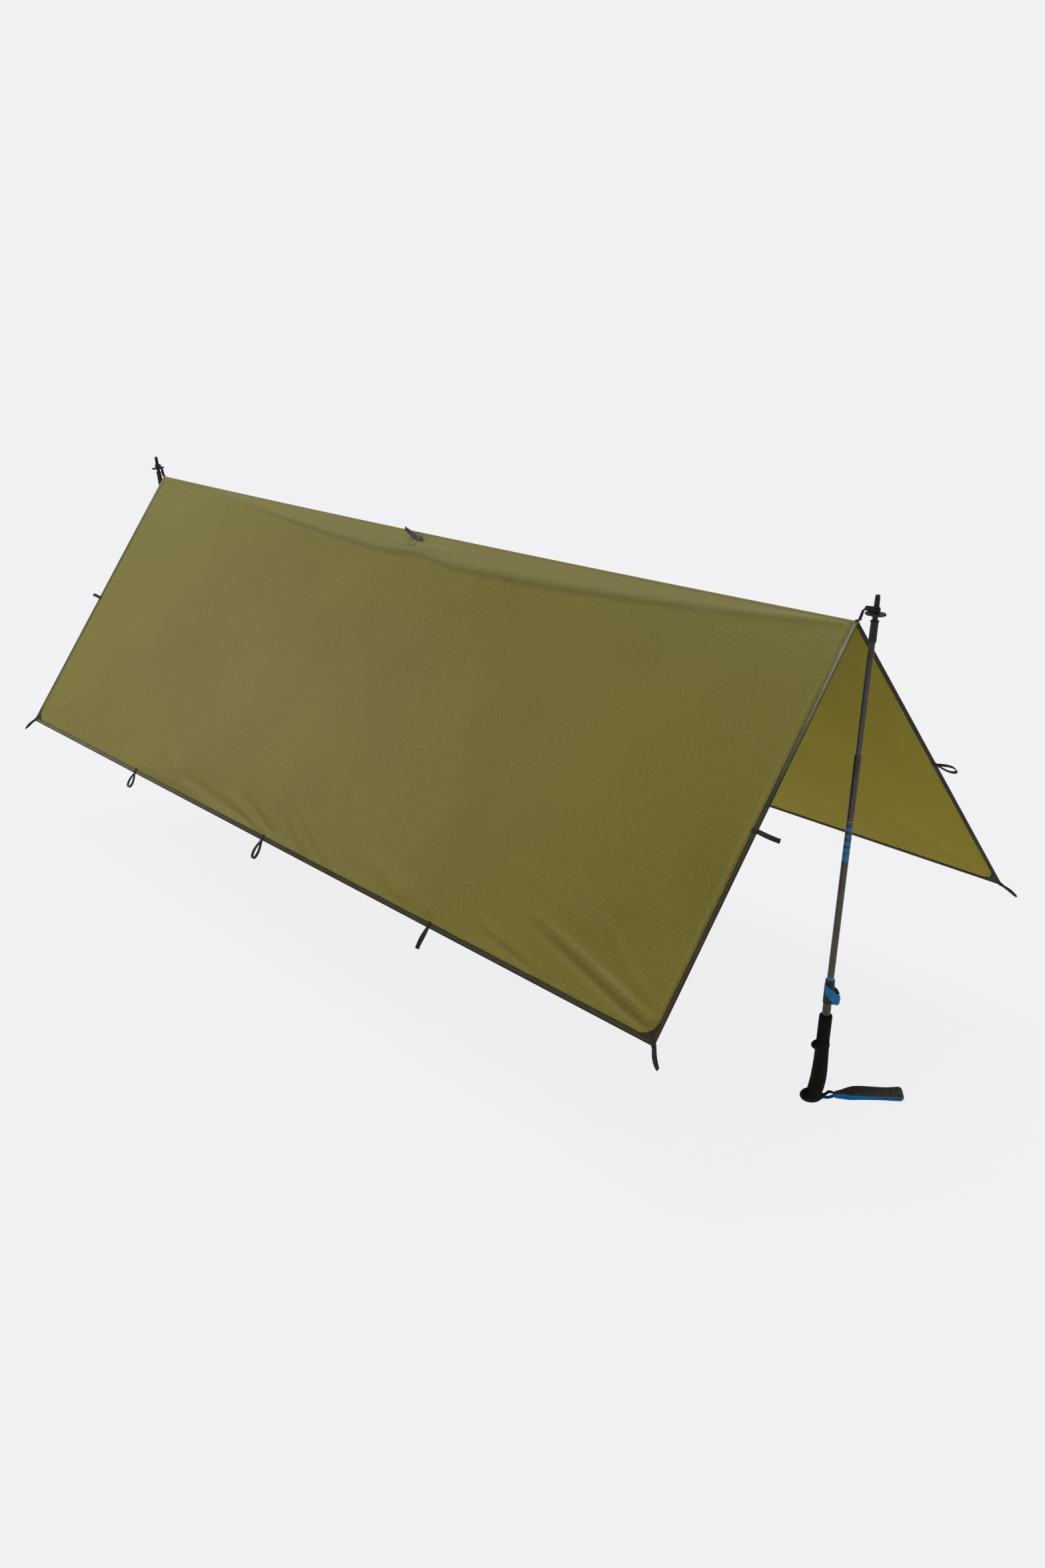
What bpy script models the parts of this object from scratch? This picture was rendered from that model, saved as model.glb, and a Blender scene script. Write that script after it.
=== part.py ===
"""Camping tarp pitched as an A-frame on two upturned trekking poles.

Metres, +Z up, ground at z = 0, X along the ridge with the near end at +X. The front half of the
canopy lies on the -Y side. The whole object is unchanged by half a turn about Z, so the front panel
and the near pole are modelled once and the same functions make the back panel and the far pole.
"""

import math

import bmesh
import bpy
from mathutils import Matrix, Vector

# Canopy, as it is pitched
RIDGE_LENGTH = 3.0
SLOPE_LENGTH = 0.936
RIDGE_HEIGHT = 1.070
HALF_SPAN = 0.569  # from the ridge's line out to a hem, seen from above
CLOTH = 0.0008
GAP = 0.0003  # between pieces that touch
SEAM_RADIUS = 0.0021
SEAM_CLEARANCE = 0.0010  # so that both panels can fold inwards at the ridge

# Edge binding and corner patches
BINDING_WIDTH = 0.013
BINDING_TAPE = 0.0006
BINDING_TOP = 0.006  # from the ridge line down to where the binding starts
PATCH_LEG = 0.040
PATCH_THICKNESS = 0.0006

# Folds of the cloth, as heights above the flat panel
RIDGE_ROLL = 0.007
HEM_CREASE = 0.006
CORNER_FOLD = 0.007
FOLD_FADE = 0.110

# Webbing loops
WEBBING_WIDTH = 0.010
WEBBING = 0.0012
LOOP_LENGTH = 0.052
LOOP_BULGE = 0.0078  # half the height of the open loop, to the middle of the webbing
LOOP_GAP = 0.0006
HEM_LOOP_SPACING = 0.75

# Patch and loop at the middle of the ridge
RIDGE_PATCH_LENGTH = 0.030
RIDGE_PATCH_DROP = 0.034
RIDGE_PATCH_TOP = 0.012
RIDGE_LOOP_LENGTH = 0.060
RIDGE_LOOP_BULGE = 0.0075

# Where the near pole stands, from the near end of the ridge
TIP_OUT = 0.045
TIP_RISE = 0.063
FOOT_IN = 0.011
FOOT_ASIDE = 0.070
STRAP_HEADING = math.radians(51.5)  # the way the wrist strap lies on the ground

# Pole, lengths from the ground up
GRIP_LENGTH = 0.150
FOAM_LENGTH = 0.062
BARE_LENGTH = 0.028  # of the upper shaft, between foam and clamp
CLAMP_LENGTH = 0.057
UPPER_START = 0.030
MIDDLE_IN_UPPER = 0.082
LOWER_IN_MIDDLE = 0.085
LOWER_LENGTH = 0.3515

# Pole, depths from its tip down
BASKET_DEPTH = 0.041
COLLAR_DEPTH = 0.054
FERRULE_DEPTH = 0.0965
LOWER_IN_FERRULE = 0.030

# Pole, walls from the upper shaft in and out
UPPER_RADIUS = 0.0091
UPPER_WALL = 0.0014
MIDDLE_WALL = 0.0008
LOWER_WALL = 0.0009
GRIP_WALL = 0.0071
FOAM_WALL = 0.0049
CLAMP_WALL = 0.0022
FERRULE_WALL = 0.0011

# Grip
CROWN_LENGTH = 0.052
CROWN_WIDTH = 0.036
CROWN_HEIGHT = 0.034
CROWN_OFFSET = 0.0105
CROWN_SUNK = 0.004  # of the crown, cut away to make its flat foot
KNOB_DEPTH = 0.012  # from the grip's upper end down to the knob's middle
KNOB_LENGTH = 0.042
KNOB_OFFSET = 0.004
KNOB_WIDTH = 0.026
KNOB_HEIGHT = 0.026

# Clamp and lever
CLAMP_LIP = 0.010
EAR_WIDTH = 0.011
EAR_HEIGHT = 0.005
HUB_HEIGHT = 0.0164
HUB_RADIUS = 0.0044
PIN_RADIUS = 0.0016
PIN_OFF_CLAMP = 0.0062
LEVER_THICKNESS = 0.0024
LEVER_CLEARANCE = 0.0004
LEVER_START = math.radians(-18)
LEVER_SWEEP = math.radians(122)
LEVER_RISE = 0.0190
LEVER_SPREAD = 0.0090

# Twist lock
LOCK_ROD_RADIUS = 0.0025
LOCK_ROD_LENGTH = 0.042
LOCK_HEAD_LENGTH = 0.014
LOCK_FLANGE = 0.002
SLEEVE_LENGTH = 0.026
SLEEVE_MOUTH_DEPTH = 0.016
LOCK_TRAVEL = 0.0004  # of the cone, as the lock is turned
CONE_LENGTH = 0.015
CONE_NARROW = 0.0036
CONE_WIDE = 0.0053
CONE_CLEARANCE = 0.0005

# Ferrule, basket and tip
COLLAR_LIP = 0.0010
COLLAR_THICKNESS = 0.0040
NECK_RADIUS = 0.0054
BASKET_RADIUS = 0.0210
BASKET_THICKNESS = 0.0036
BASKET_NOTCHES = 8
NOTCH_RADIUS = 0.0034
TIP_ROOT_RADIUS = 0.0058
TIP_END_RADIUS = 0.0049
RING_CLEARANCE = 0.0015  # between the tip and the webbing round it
RING_TILT_ROOM = 0.0008  # because the webbing is level and the pole leans

# Wrist strap
STRAP_PIN_OUT = 0.010
STRAP_PIN_RADIUS = 0.0020
STRAP_PIN_HOLD = 0.005  # of the pin, in each cheek of the crown
STRAP_TAPE_WIDTH = 0.012
STRAP_TAPE = 0.0016
STRAP_TAPE_REACH = 0.030
STRAP_PAD_START = 0.026
STRAP_PAD_END = 0.176
STRAP_PAD_WIDTH = 0.030
STRAP_PAD_HEIGHT = 0.0190
STRAP_PAD_LAYER = 0.0068
STRAP_LIFT = 0.0007  # of the pad, off the ground
SLOT_CLEARANCE = 0.0006
SLOT_UP = 0.0158  # from the pin up to the slot's end

ROUND_STEPS = 32
SMALL_STEPS = 20

# Worked out from the values above
PITCH = math.acos(math.sqrt(SLOPE_LENGTH**2 - HALF_SPAN**2) / SLOPE_LENGTH)
HALF_LENGTH = RIDGE_LENGTH / 2
PANEL_START = SEAM_RADIUS + SEAM_CLEARANCE
PANEL_EDGE = BINDING_TAPE + GAP  # from the binding's outer face in to the cloth's edge
LOOP_OUT = LOOP_GAP + WEBBING  # from an edge out to the hinge line of its loops
LEAN_PIVOT = Vector((HALF_LENGTH + LOOP_OUT, 0.0, RIDGE_HEIGHT))
POLE_FOOT = Vector((HALF_LENGTH - FOOT_IN, -FOOT_ASIDE, 0.0))
POLE_TOP = Vector((HALF_LENGTH + TIP_OUT, 0.0, RIDGE_HEIGHT + TIP_RISE))
POLE_LENGTH = (POLE_TOP - POLE_FOOT).length
FOAM_TOP = GRIP_LENGTH + FOAM_LENGTH
CLAMP_BOTTOM = FOAM_TOP + BARE_LENGTH
CLAMP_TOP = CLAMP_BOTTOM + CLAMP_LENGTH
BASKET_HEIGHT = POLE_LENGTH - BASKET_DEPTH
COLLAR_HEIGHT = POLE_LENGTH - COLLAR_DEPTH
FERRULE_BOTTOM = POLE_LENGTH - FERRULE_DEPTH
LOWER_END = FERRULE_BOTTOM + LOWER_IN_FERRULE
LOWER_START = LOWER_END - LOWER_LENGTH
MIDDLE_TOP = LOWER_START + LOWER_IN_MIDDLE
MIDDLE_RADIUS = UPPER_RADIUS - UPPER_WALL - GAP
LOWER_RADIUS = MIDDLE_RADIUS - MIDDLE_WALL - GAP
GRIP_RADIUS = UPPER_RADIUS + GAP + GRIP_WALL
FOAM_RADIUS = UPPER_RADIUS + GAP + FOAM_WALL
CLAMP_RADIUS = UPPER_RADIUS + GAP + CLAMP_WALL
FERRULE_RADIUS = LOWER_RADIUS + GAP + FERRULE_WALL
COLLAR_RADIUS = FERRULE_RADIUS + COLLAR_LIP
PIN_OUT = CLAMP_RADIUS + PIN_OFF_CLAMP
HUB_MIDDLE = CLAMP_BOTTOM + EAR_HEIGHT + GAP + HUB_HEIGHT / 2
STRAP_PIN_UP = STRAP_PAD_HEIGHT / 2 + STRAP_LIFT
STRAP_PIN_LENGTH = STRAP_TAPE_WIDTH + 2 * (SLOT_CLEARANCE + STRAP_PIN_HOLD)
STRAP_EYE_INNER = STRAP_PIN_RADIUS + GAP
STRAP_EYE_OUTER = STRAP_EYE_INNER + STRAP_TAPE


def clear_scene():
    for old in list(bpy.data.objects):
        bpy.data.objects.remove(old, do_unlink=True)


def new_collection(name):
    made = bpy.data.collections.new(name)
    bpy.context.scene.collection.children.link(made)
    return made


def new_material(name, colour, roughness, metallic=0.0):
    made = bpy.data.materials.new(name)
    made.use_nodes = True
    shader = made.node_tree.nodes["Principled BSDF"]
    shader.inputs["Base Color"].default_value = (*colour, 1.0)
    shader.inputs["Roughness"].default_value = roughness
    shader.inputs["Metallic"].default_value = metallic
    made.diffuse_color = (*colour, 1.0)
    return made


clear_scene()
PARTS = new_collection("camping_tarp")
CUTTERS = new_collection("cutters")
CLOTH_GREEN = new_material("coated_ripstop_nylon", (0.165, 0.140, 0.034), 0.55)
BINDING_BROWN = new_material("binding_tape", (0.052, 0.046, 0.020), 0.8)
WEBBING_BLACK = new_material("webbing", (0.020, 0.018, 0.020), 0.8)
SHAFT_GREY = new_material("anodised_aluminium", (0.055, 0.048, 0.038), 0.35, 1.0)
PLASTIC_BLACK = new_material("moulded_nylon", (0.012, 0.012, 0.012), 0.5)
LEVER_BLUE = new_material("moulded_blue_plastic", (0.005, 0.130, 0.300), 0.4)
STEEL = new_material("steel_pin", (0.45, 0.45, 0.45), 0.3, 1.0)
FOAM_BLACK = new_material("eva_foam", (0.010, 0.009, 0.008), 0.9)
STRAP_BLACK = new_material("padded_strap", (0.015, 0.020, 0.035), 0.85)


def place(obj, parent, location=(0, 0, 0), rotation=(0, 0, 0)):
    obj.parent = parent
    obj.location = location
    obj.rotation_euler = rotation
    return obj


def new_frame(name, parent=None, location=(0, 0, 0), rotation=(0, 0, 0)):
    """An empty that carries a group of pieces."""
    empty = bpy.data.objects.new(name, None)
    PARTS.objects.link(empty)
    return place(empty, parent, location, rotation)


def new_object(name, data, material, parent, location=(0, 0, 0), rotation=(0, 0, 0)):
    obj = bpy.data.objects.new(name, data)
    data.materials.append(material)
    PARTS.objects.link(obj)
    return place(obj, parent, location, rotation)


def mesh_from(name, bm):
    mesh = bpy.data.meshes.new(name)
    bm.to_mesh(mesh)
    bm.free()
    return mesh


def smooth_rounds(obj):
    obj.data.shade_smooth()
    obj.data.set_sharp_from_angle(angle=math.radians(35))


def solidify(obj, thickness):
    wall = obj.modifiers.new("wall", "SOLIDIFY")
    wall.thickness = thickness
    wall.offset = 0.0
    wall.use_even_offset = True


def turned(name, profile, material, parent, steps=ROUND_STEPS):
    """A solid turned about local Z. The closed profile runs down its outer side, top to bottom."""
    bm = bmesh.new()
    points = [bm.verts.new((r, 0.0, z)) for r, z in profile]
    on_axis = profile[0][0] == 0.0 and profile[-1][0] == 0.0
    for first, second in zip(points, points[1:] + ([] if on_axis else points[:1])):
        bm.edges.new((first, second))
    obj = new_object(name, mesh_from(name, bm), material, parent)
    screw = obj.modifiers.new("turn", "SCREW")
    screw.axis = "Z"
    screw.steps = steps
    screw.render_steps = steps
    screw.use_merge_vertices = True
    screw.merge_threshold = 0.00001
    screw.use_smooth_shade = False
    return obj


def tube_profile(outer, inner, low, high):
    return [(outer, high), (outer, low), (inner, low), (inner, high)]


def flat_curve(name, outlines, thickness):
    """A 2D curve of closed outlines in local XY, with its thickness along Z. Inner outlines are holes."""
    curve = bpy.data.curves.new(name, "CURVE")
    curve.dimensions = "2D"
    curve.fill_mode = "BOTH"
    curve.extrude = thickness / 2
    for outline in outlines:
        spline = curve.splines.new("POLY")
        spline.points.add(len(outline) - 1)
        for point, (x, y) in zip(spline.points, outline):
            point.co = (x, y, 0.0, 1.0)
        spline.use_cyclic_u = True
    return curve


def curve_to_mesh(obj):
    """Replaces a curve object by a mesh object of the same name, with its caps joined on."""
    bpy.context.view_layer.update()
    graph = bpy.context.evaluated_depsgraph_get()
    mesh = bpy.data.meshes.new_from_object(obj.evaluated_get(graph))
    bm = bmesh.new()
    bm.from_mesh(mesh)
    bmesh.ops.remove_doubles(bm, verts=bm.verts, dist=0.000001)
    bmesh.ops.recalc_face_normals(bm, faces=bm.faces)
    bm.to_mesh(mesh)
    bm.free()
    name, parent, collection = obj.name, obj.parent, obj.users_collection[0]
    location, rotation = obj.location.copy(), obj.rotation_euler.copy()
    bpy.data.objects.remove(obj, do_unlink=True)
    mesh.name = name
    made = bpy.data.objects.new(name, mesh)
    collection.objects.link(made)
    return place(made, parent, location, rotation)


def as_cutter(obj):
    for collection in list(obj.users_collection):
        collection.objects.unlink(obj)
    CUTTERS.objects.link(obj)
    obj.hide_render = True
    obj.display_type = "WIRE"
    return obj


def boolean(target, operation, tool):
    step = target.modifiers.new(operation.lower(), "BOOLEAN")
    step.operation = operation
    step.object = as_cutter(tool)
    step.solver = "EXACT"


def block(name, size, material, parent, location=(0, 0, 0), rotation=(0, 0, 0)):
    bm = bmesh.new()
    bmesh.ops.create_cube(bm, size=1.0, matrix=Matrix.Diagonal((*size, 1.0)))
    return new_object(name, mesh_from(name, bm), material, parent, location, rotation)


def rod(name, radius, length, material, parent, location=(0, 0, 0), rotation=(0, 0, 0), steps=SMALL_STEPS):
    """A cylinder along local Z, centred on its place."""
    bm = bmesh.new()
    bmesh.ops.create_cone(
        bm, cap_ends=True, segments=steps, radius1=radius, radius2=radius, depth=length
    )
    return new_object(name, mesh_from(name, bm), material, parent, location, rotation)


def ball(name, size, material, parent, location=(0, 0, 0), segments=24, rings=14):
    """An ellipsoid of the given full sizes."""
    bm = bmesh.new()
    shape = Matrix.Diagonal((size[0] / 2, size[1] / 2, size[2] / 2, 1.0))
    bmesh.ops.create_uvsphere(bm, u_segments=segments, v_segments=rings, radius=1.0, matrix=shape)
    return new_object(name, mesh_from(name, bm), material, parent, location)


def ease(value):
    """Smooth step from 0 to 1."""
    value = min(1.0, max(0.0, value))
    return value * value * (3.0 - 2.0 * value)


def fold_height(x, down):
    """Height of the cloth above the flat panel at x along the ridge and a distance down the slope."""
    from_side = HALF_LENGTH - abs(x) - BINDING_WIDTH
    from_hem = SLOPE_LENGTH - down - BINDING_WIDTH
    from_ridge = down - PANEL_START
    calm = ease(from_side / FOLD_FADE) * ease(from_hem / FOLD_FADE) * ease(from_ridge / 0.030)
    for patch_x, patch_down, radius in (
        (HALF_LENGTH, SLOPE_LENGTH, 0.10),
        (-HALF_LENGTH, SLOPE_LENGTH, 0.10),
        (0.0, RIDGE_PATCH_TOP + RIDGE_PATCH_DROP / 2, 0.055),
    ):
        calm *= ease((math.hypot(x - patch_x, down - patch_down) - radius) / 0.08)
    along = (x + HALF_LENGTH) / RIDGE_LENGTH
    roll_line = 0.030 + 0.085 * math.sin(math.pi * min(1.0, along * 1.15))
    roll = RIDGE_ROLL * math.sin(math.pi * min(2.0, down / roll_line)) * math.exp(-down / 0.30)
    hem_up = max(0.0, from_hem)
    crease = HEM_CREASE * math.sin(x * 23.0 + hem_up * 9.0) * math.exp(-hem_up / 0.13)
    crease *= math.exp(-((x / 0.42) ** 2))
    corner_x = HALF_LENGTH - x
    diagonal = (corner_x - from_hem) / 0.16
    corner = CORNER_FOLD * math.cos(diagonal * 2.1) * math.exp(-math.hypot(corner_x, from_hem) / 0.33)
    return calm * (roll + crease + corner)


def make_panel(name, parent):
    """One half of the canopy, in a frame with X along the ridge and -Y down the slope."""
    columns, rows = 38, 14
    bm = bmesh.new()
    bmesh.ops.create_grid(bm, x_segments=columns, y_segments=rows, size=1.0)
    crowding = 0.6  # brings the columns closer at the ends, the middle and the quarter points
    reach = SLOPE_LENGTH - PANEL_EDGE - PANEL_START
    for vert in bm.verts:
        u, v = vert.co.x, (1.0 - vert.co.y) / 2
        u -= crowding * math.sin(4 * math.pi * u) / (4 * math.pi)
        x = u * (HALF_LENGTH - PANEL_EDGE)
        down = PANEL_START + reach * (1.0 - math.cos(math.pi * v)) / 2
        vert.co = (x, -down, fold_height(x, down))
    obj = new_object(name, mesh_from(name, bm), CLOTH_GREEN, parent)
    solidify(obj, CLOTH)
    return obj


def make_binding(name, parent):
    """A tape folded over the raw edge: down one side, along the hem and up the other side."""
    half = CLOTH / 2 + GAP + BINDING_TAPE / 2
    fold = BINDING_TAPE / 2  # the tape's middle, in from the finished edge
    section = [(BINDING_WIDTH, half), (fold, half), (fold, -half), (BINDING_WIDTH, -half)]
    bm = bmesh.new()
    rings = []
    for side, down, mitred in (
        (1, BINDING_TOP, False),
        (1, SLOPE_LENGTH, True),
        (-1, SLOPE_LENGTH, True),
        (-1, BINDING_TOP, False),
    ):
        rings.append(
            [
                bm.verts.new((side * (HALF_LENGTH - inward), -(down - inward * mitred), height))
                for inward, height in section
            ]
        )
    for one, two in zip(rings, rings[1:]):
        for i in range(len(section) - 1):
            bm.faces.new((one[i], two[i], two[i + 1], one[i + 1]))
    bmesh.ops.recalc_face_normals(bm, faces=bm.faces)
    obj = new_object(name, mesh_from(name, bm), BINDING_BROWN, parent)
    solidify(obj, BINDING_TAPE)
    return obj


def make_corner_patch(name, parent, side):
    """A web of cloth between hem and side binding, its free edge drawn in as a quarter circle."""
    arc_steps = 12
    turns = [math.pi / 2 * i / arc_steps for i in range(arc_steps + 1)]
    arc = [(PATCH_LEG - PATCH_LEG * math.sin(a), PATCH_LEG - PATCH_LEG * math.cos(a)) for a in turns]
    inner = BINDING_WIDTH + GAP
    outline = [(side * (HALF_LENGTH - inner - p), -(SLOPE_LENGTH - inner - q)) for p, q in [(0, 0)] + arc]
    height = CLOTH / 2 + GAP + PATCH_THICKNESS / 2
    curve = flat_curve(name, [outline], PATCH_THICKNESS)
    return new_object(name, curve, BINDING_BROWN, parent, (0, 0, height))


def loop_outlines(length, bulge, hole_start):
    """Outer and inner outline of a webbing loop that leaves its seam at the origin along +X."""
    steps = 11
    middle = []
    for i in range(steps + 1):
        turn = math.pi * i / steps
        x = (length - WEBBING / 2) * (1.0 - math.cos(turn)) / 2
        y = WEBBING / 2 + bulge * 1.3 * math.sin(turn) * math.sin(turn / 2) ** 1.2
        middle.append(Vector((x, y if i < steps else 0.0)))
    ahead = middle[1:] + [Vector((middle[-2].x, -middle[-2].y))]
    behind = [Vector((-1.0, WEBBING / 2))] + middle[:-1]
    outer, inner = [], []
    for point, after, before in zip(middle, ahead, behind):
        run = (after - before).normalized()
        out = Vector((-run.y, run.x))
        outer.append(point + out * WEBBING / 2)
        inner.append(point - out * WEBBING / 2)
    mirror = [Vector((p.x, -p.y)) for p in reversed(outer[:-1])]
    root = [(-WEBBING * math.cos(a), -WEBBING * math.sin(a)) for a in (math.pi / 4, 0, -math.pi / 4)]
    outer = [tuple(p) for p in outer + mirror] + root
    hole = [p for p in inner if p.x > hole_start and (p.y > 0.0003 or p.x > length / 2)]
    hole = [(hole_start, 0.0)] + [tuple(p) for p in hole]
    hole += [(p[0], -p[1]) for p in reversed(hole[1:-1])]
    return outer, hole


def make_loop(name, parent, location, heading, tilt=0.0):
    """A free webbing loop hinged at its seam. Heading turns it in the panel, and its hole runs across."""
    outer, hole = loop_outlines(LOOP_LENGTH, LOOP_BULGE, 0.012)
    curve = flat_curve(name, [outer, hole], WEBBING_WIDTH)
    frame = Matrix.Rotation(heading, 4, "Z") @ Matrix.Rotation(math.pi / 2 + tilt, 4, "X")
    return new_object(name, curve, WEBBING_BLACK, parent, location, frame.to_euler())


def make_ridge_seam():
    curve = bpy.data.curves.new("ridge_seam", "CURVE")
    curve.dimensions = "3D"
    curve.bevel_depth = SEAM_RADIUS
    curve.bevel_resolution = 2
    curve.use_fill_caps = True
    spline = curve.splines.new("POLY")
    spline.points.add(1)
    for point, side in zip(spline.points, (-1, 1)):
        point.co = (side * HALF_LENGTH, 0.0, 0.0, 1.0)
    return new_object("ridge_seam", curve, BINDING_BROWN, None, (0, 0, RIDGE_HEIGHT))


def make_ridge_middle(parent):
    """The sewn patch below the middle of the ridge, and the webbing loop that lies on it."""
    size = (RIDGE_PATCH_LENGTH, RIDGE_PATCH_DROP, PATCH_THICKNESS)
    height = CLOTH / 2 + GAP + PATCH_THICKNESS / 2
    down = RIDGE_PATCH_TOP + RIDGE_PATCH_DROP / 2
    block("ridge_patch", size, CLOTH_GREEN, parent, (0, -down, height))
    outer, hole = loop_outlines(RIDGE_LOOP_LENGTH, RIDGE_LOOP_BULGE, 0.010)
    curve = flat_curve("ridge_middle_loop", [outer, hole], WEBBING_WIDTH)
    above = height + PATCH_THICKNESS / 2 + GAP + RIDGE_LOOP_BULGE + WEBBING
    place_at = (RIDGE_LOOP_LENGTH / 2, -RIDGE_PATCH_TOP - WEBBING_WIDTH / 2, above)
    turned_back = (math.pi / 2, 0.0, math.pi)
    return new_object("ridge_middle_loop", curve, WEBBING_BLACK, parent, place_at, turned_back)


def make_canopy_half(side_name, ends, half):
    """Panel, binding, patches and loops of one slope, all in the slope's own frame."""
    slope = new_frame(side_name + "_slope", half, (0, 0, RIDGE_HEIGHT), (math.pi / 2 - PITCH, 0, 0))
    make_panel(side_name + "_panel", slope)
    make_binding(side_name + "_binding", slope)
    for end_name, side in zip(ends, (1, -1)):
        make_corner_patch(f"{side_name}_{end_name}_corner_patch", slope, side)
        out = LOOP_OUT / math.sqrt(2)
        corner = (side * (HALF_LENGTH + out), -SLOPE_LENGTH - out, 0)
        heading = -math.pi / 4 if side > 0 else -3 * math.pi / 4
        make_loop(f"{side_name}_{end_name}_corner_loop", slope, corner, heading)
        middle = (side * (HALF_LENGTH + LOOP_OUT), -SLOPE_LENGTH / 2, 0)
        make_loop(f"{side_name}_{end_name}_side_loop", slope, middle, 0.0 if side > 0 else math.pi)
    for end_name, x in zip((ends[0], "middle", ends[1]), (HEM_LOOP_SPACING, 0.0, -HEM_LOOP_SPACING)):
        hem = (x, -SLOPE_LENGTH - LOOP_OUT, 0)
        make_loop(f"{side_name}_hem_loop_{end_name}", slope, hem, -math.pi / 2)
    return slope


def pole_rotation():
    """Local Z up the pole, local X towards the wrist strap."""
    up = (POLE_TOP - POLE_FOOT).normalized()
    strap = Vector((math.cos(STRAP_HEADING), math.sin(STRAP_HEADING), 0.0))
    across = up.cross(strap).normalized()
    return Matrix((across.cross(up), across, up)).transposed().to_euler()


def station(height):
    """The point of the pole's axis at a distance up from its foot."""
    return POLE_FOOT + (POLE_TOP - POLE_FOOT) * (height / POLE_LENGTH)


def make_grip(name, pole, lean, half):
    """Curved handle with a hooked crown that stands on the ground, and a finger knob on one side."""
    curve = bpy.data.curves.new(name, "CURVE")
    curve.dimensions = "3D"
    curve.bevel_depth = 1.0
    curve.bevel_resolution = 5
    curve.use_fill_caps = True
    stations = (  # shares of the grip's length, and of its radius
        (0.07, -0.50, 1.00),
        (0.15, -0.28, 1.06),
        (0.24, -0.15, 1.08),
        (0.37, 0.00, 1.07),
        (0.53, 0.06, 1.03),
        (0.70, 0.05, 0.96),
        (0.85, 0.02, 0.93),
        (1.00, 0.00, 0.91),
    )
    spline = curve.splines.new("POLY")
    spline.points.add(len(stations) - 1)
    for point, (up, shift, share) in zip(spline.points, stations):
        point.co = (GRIP_RADIUS * shift, 0.0, GRIP_LENGTH * up, 1.0)
        point.radius = GRIP_RADIUS * share
    grip = curve_to_mesh(new_object(name, curve, FOAM_BLACK, pole))
    crown_size = (CROWN_LENGTH, CROWN_WIDTH, CROWN_HEIGHT)
    crown_place = (-CROWN_OFFSET, 0.0, CROWN_HEIGHT / 2 - CROWN_SUNK)
    boolean(grip, "UNION", ball(name + "_crown", crown_size, FOAM_BLACK, pole, crown_place))
    knob_size = (KNOB_LENGTH, KNOB_WIDTH, KNOB_HEIGHT)
    knob_place = (-KNOB_OFFSET, 0.0, GRIP_LENGTH - KNOB_DEPTH)
    boolean(grip, "UNION", ball(name + "_knob", knob_size, FOAM_BLACK, pole, knob_place, 20, 10))
    top = block(name + "_top", (0.2, 0.2, 0.1), FOAM_BLACK, pole, (0, 0, GRIP_LENGTH + 0.05))
    boolean(grip, "DIFFERENCE", top)
    bore_length = GRIP_LENGTH - UPPER_START + GAP + 0.02
    bore_middle = (0, 0, UPPER_START - GAP + bore_length / 2)
    bore = rod(name + "_bore", UPPER_RADIUS + GAP, bore_length, FOAM_BLACK, pole, bore_middle, steps=24)
    boolean(grip, "DIFFERENCE", bore)
    strap_way = strap_frame(name + "_strap_place", lean)
    slot_low = STRAP_EYE_OUTER + SLOT_CLEARANCE
    slot_size = (CROWN_LENGTH, STRAP_TAPE_WIDTH + 2 * SLOT_CLEARANCE, slot_low + SLOT_UP)
    slot_place = (CROWN_LENGTH / 2 - slot_low, 0, (SLOT_UP - slot_low) / 2)
    boolean(grip, "DIFFERENCE", block(name + "_slot", slot_size, FOAM_BLACK, strap_way, slot_place))
    hole_length = STRAP_PIN_LENGTH + 2 * GAP
    along_y = (math.pi / 2, 0, 0)
    hole = rod(name + "_pin_hole", STRAP_EYE_INNER, hole_length, FOAM_BLACK, strap_way, (0, 0, 0), along_y, 16)
    boolean(grip, "DIFFERENCE", hole)
    ground = block(name + "_ground", (0.4, 0.4, 0.1), FOAM_BLACK, half, (POLE_FOOT.x, POLE_FOOT.y, -0.05))
    boolean(grip, "DIFFERENCE", ground)
    return grip


def strap_frame(name, lean):
    """Frame on the strap's pin, level with the ground, with X along the strap."""
    heading = Vector((math.cos(STRAP_HEADING), math.sin(STRAP_HEADING), 0.0))
    place_at = POLE_FOOT + heading * STRAP_PIN_OUT + Vector((0, 0, STRAP_PIN_UP))
    return new_frame(name, lean, place_at - LEAN_PIVOT, (0, 0, STRAP_HEADING))


def band_outline(start, end, height, steps=6):
    """A long round-ended outline in XY."""
    radius = height / 2
    points = []
    for centre, first in ((end - radius, -math.pi / 2), (start + radius, math.pi / 2)):
        for i in range(steps + 1):
            turn = first + math.pi * i / steps
            points.append((centre + radius * math.cos(turn), radius * math.sin(turn)))
    return points


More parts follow.
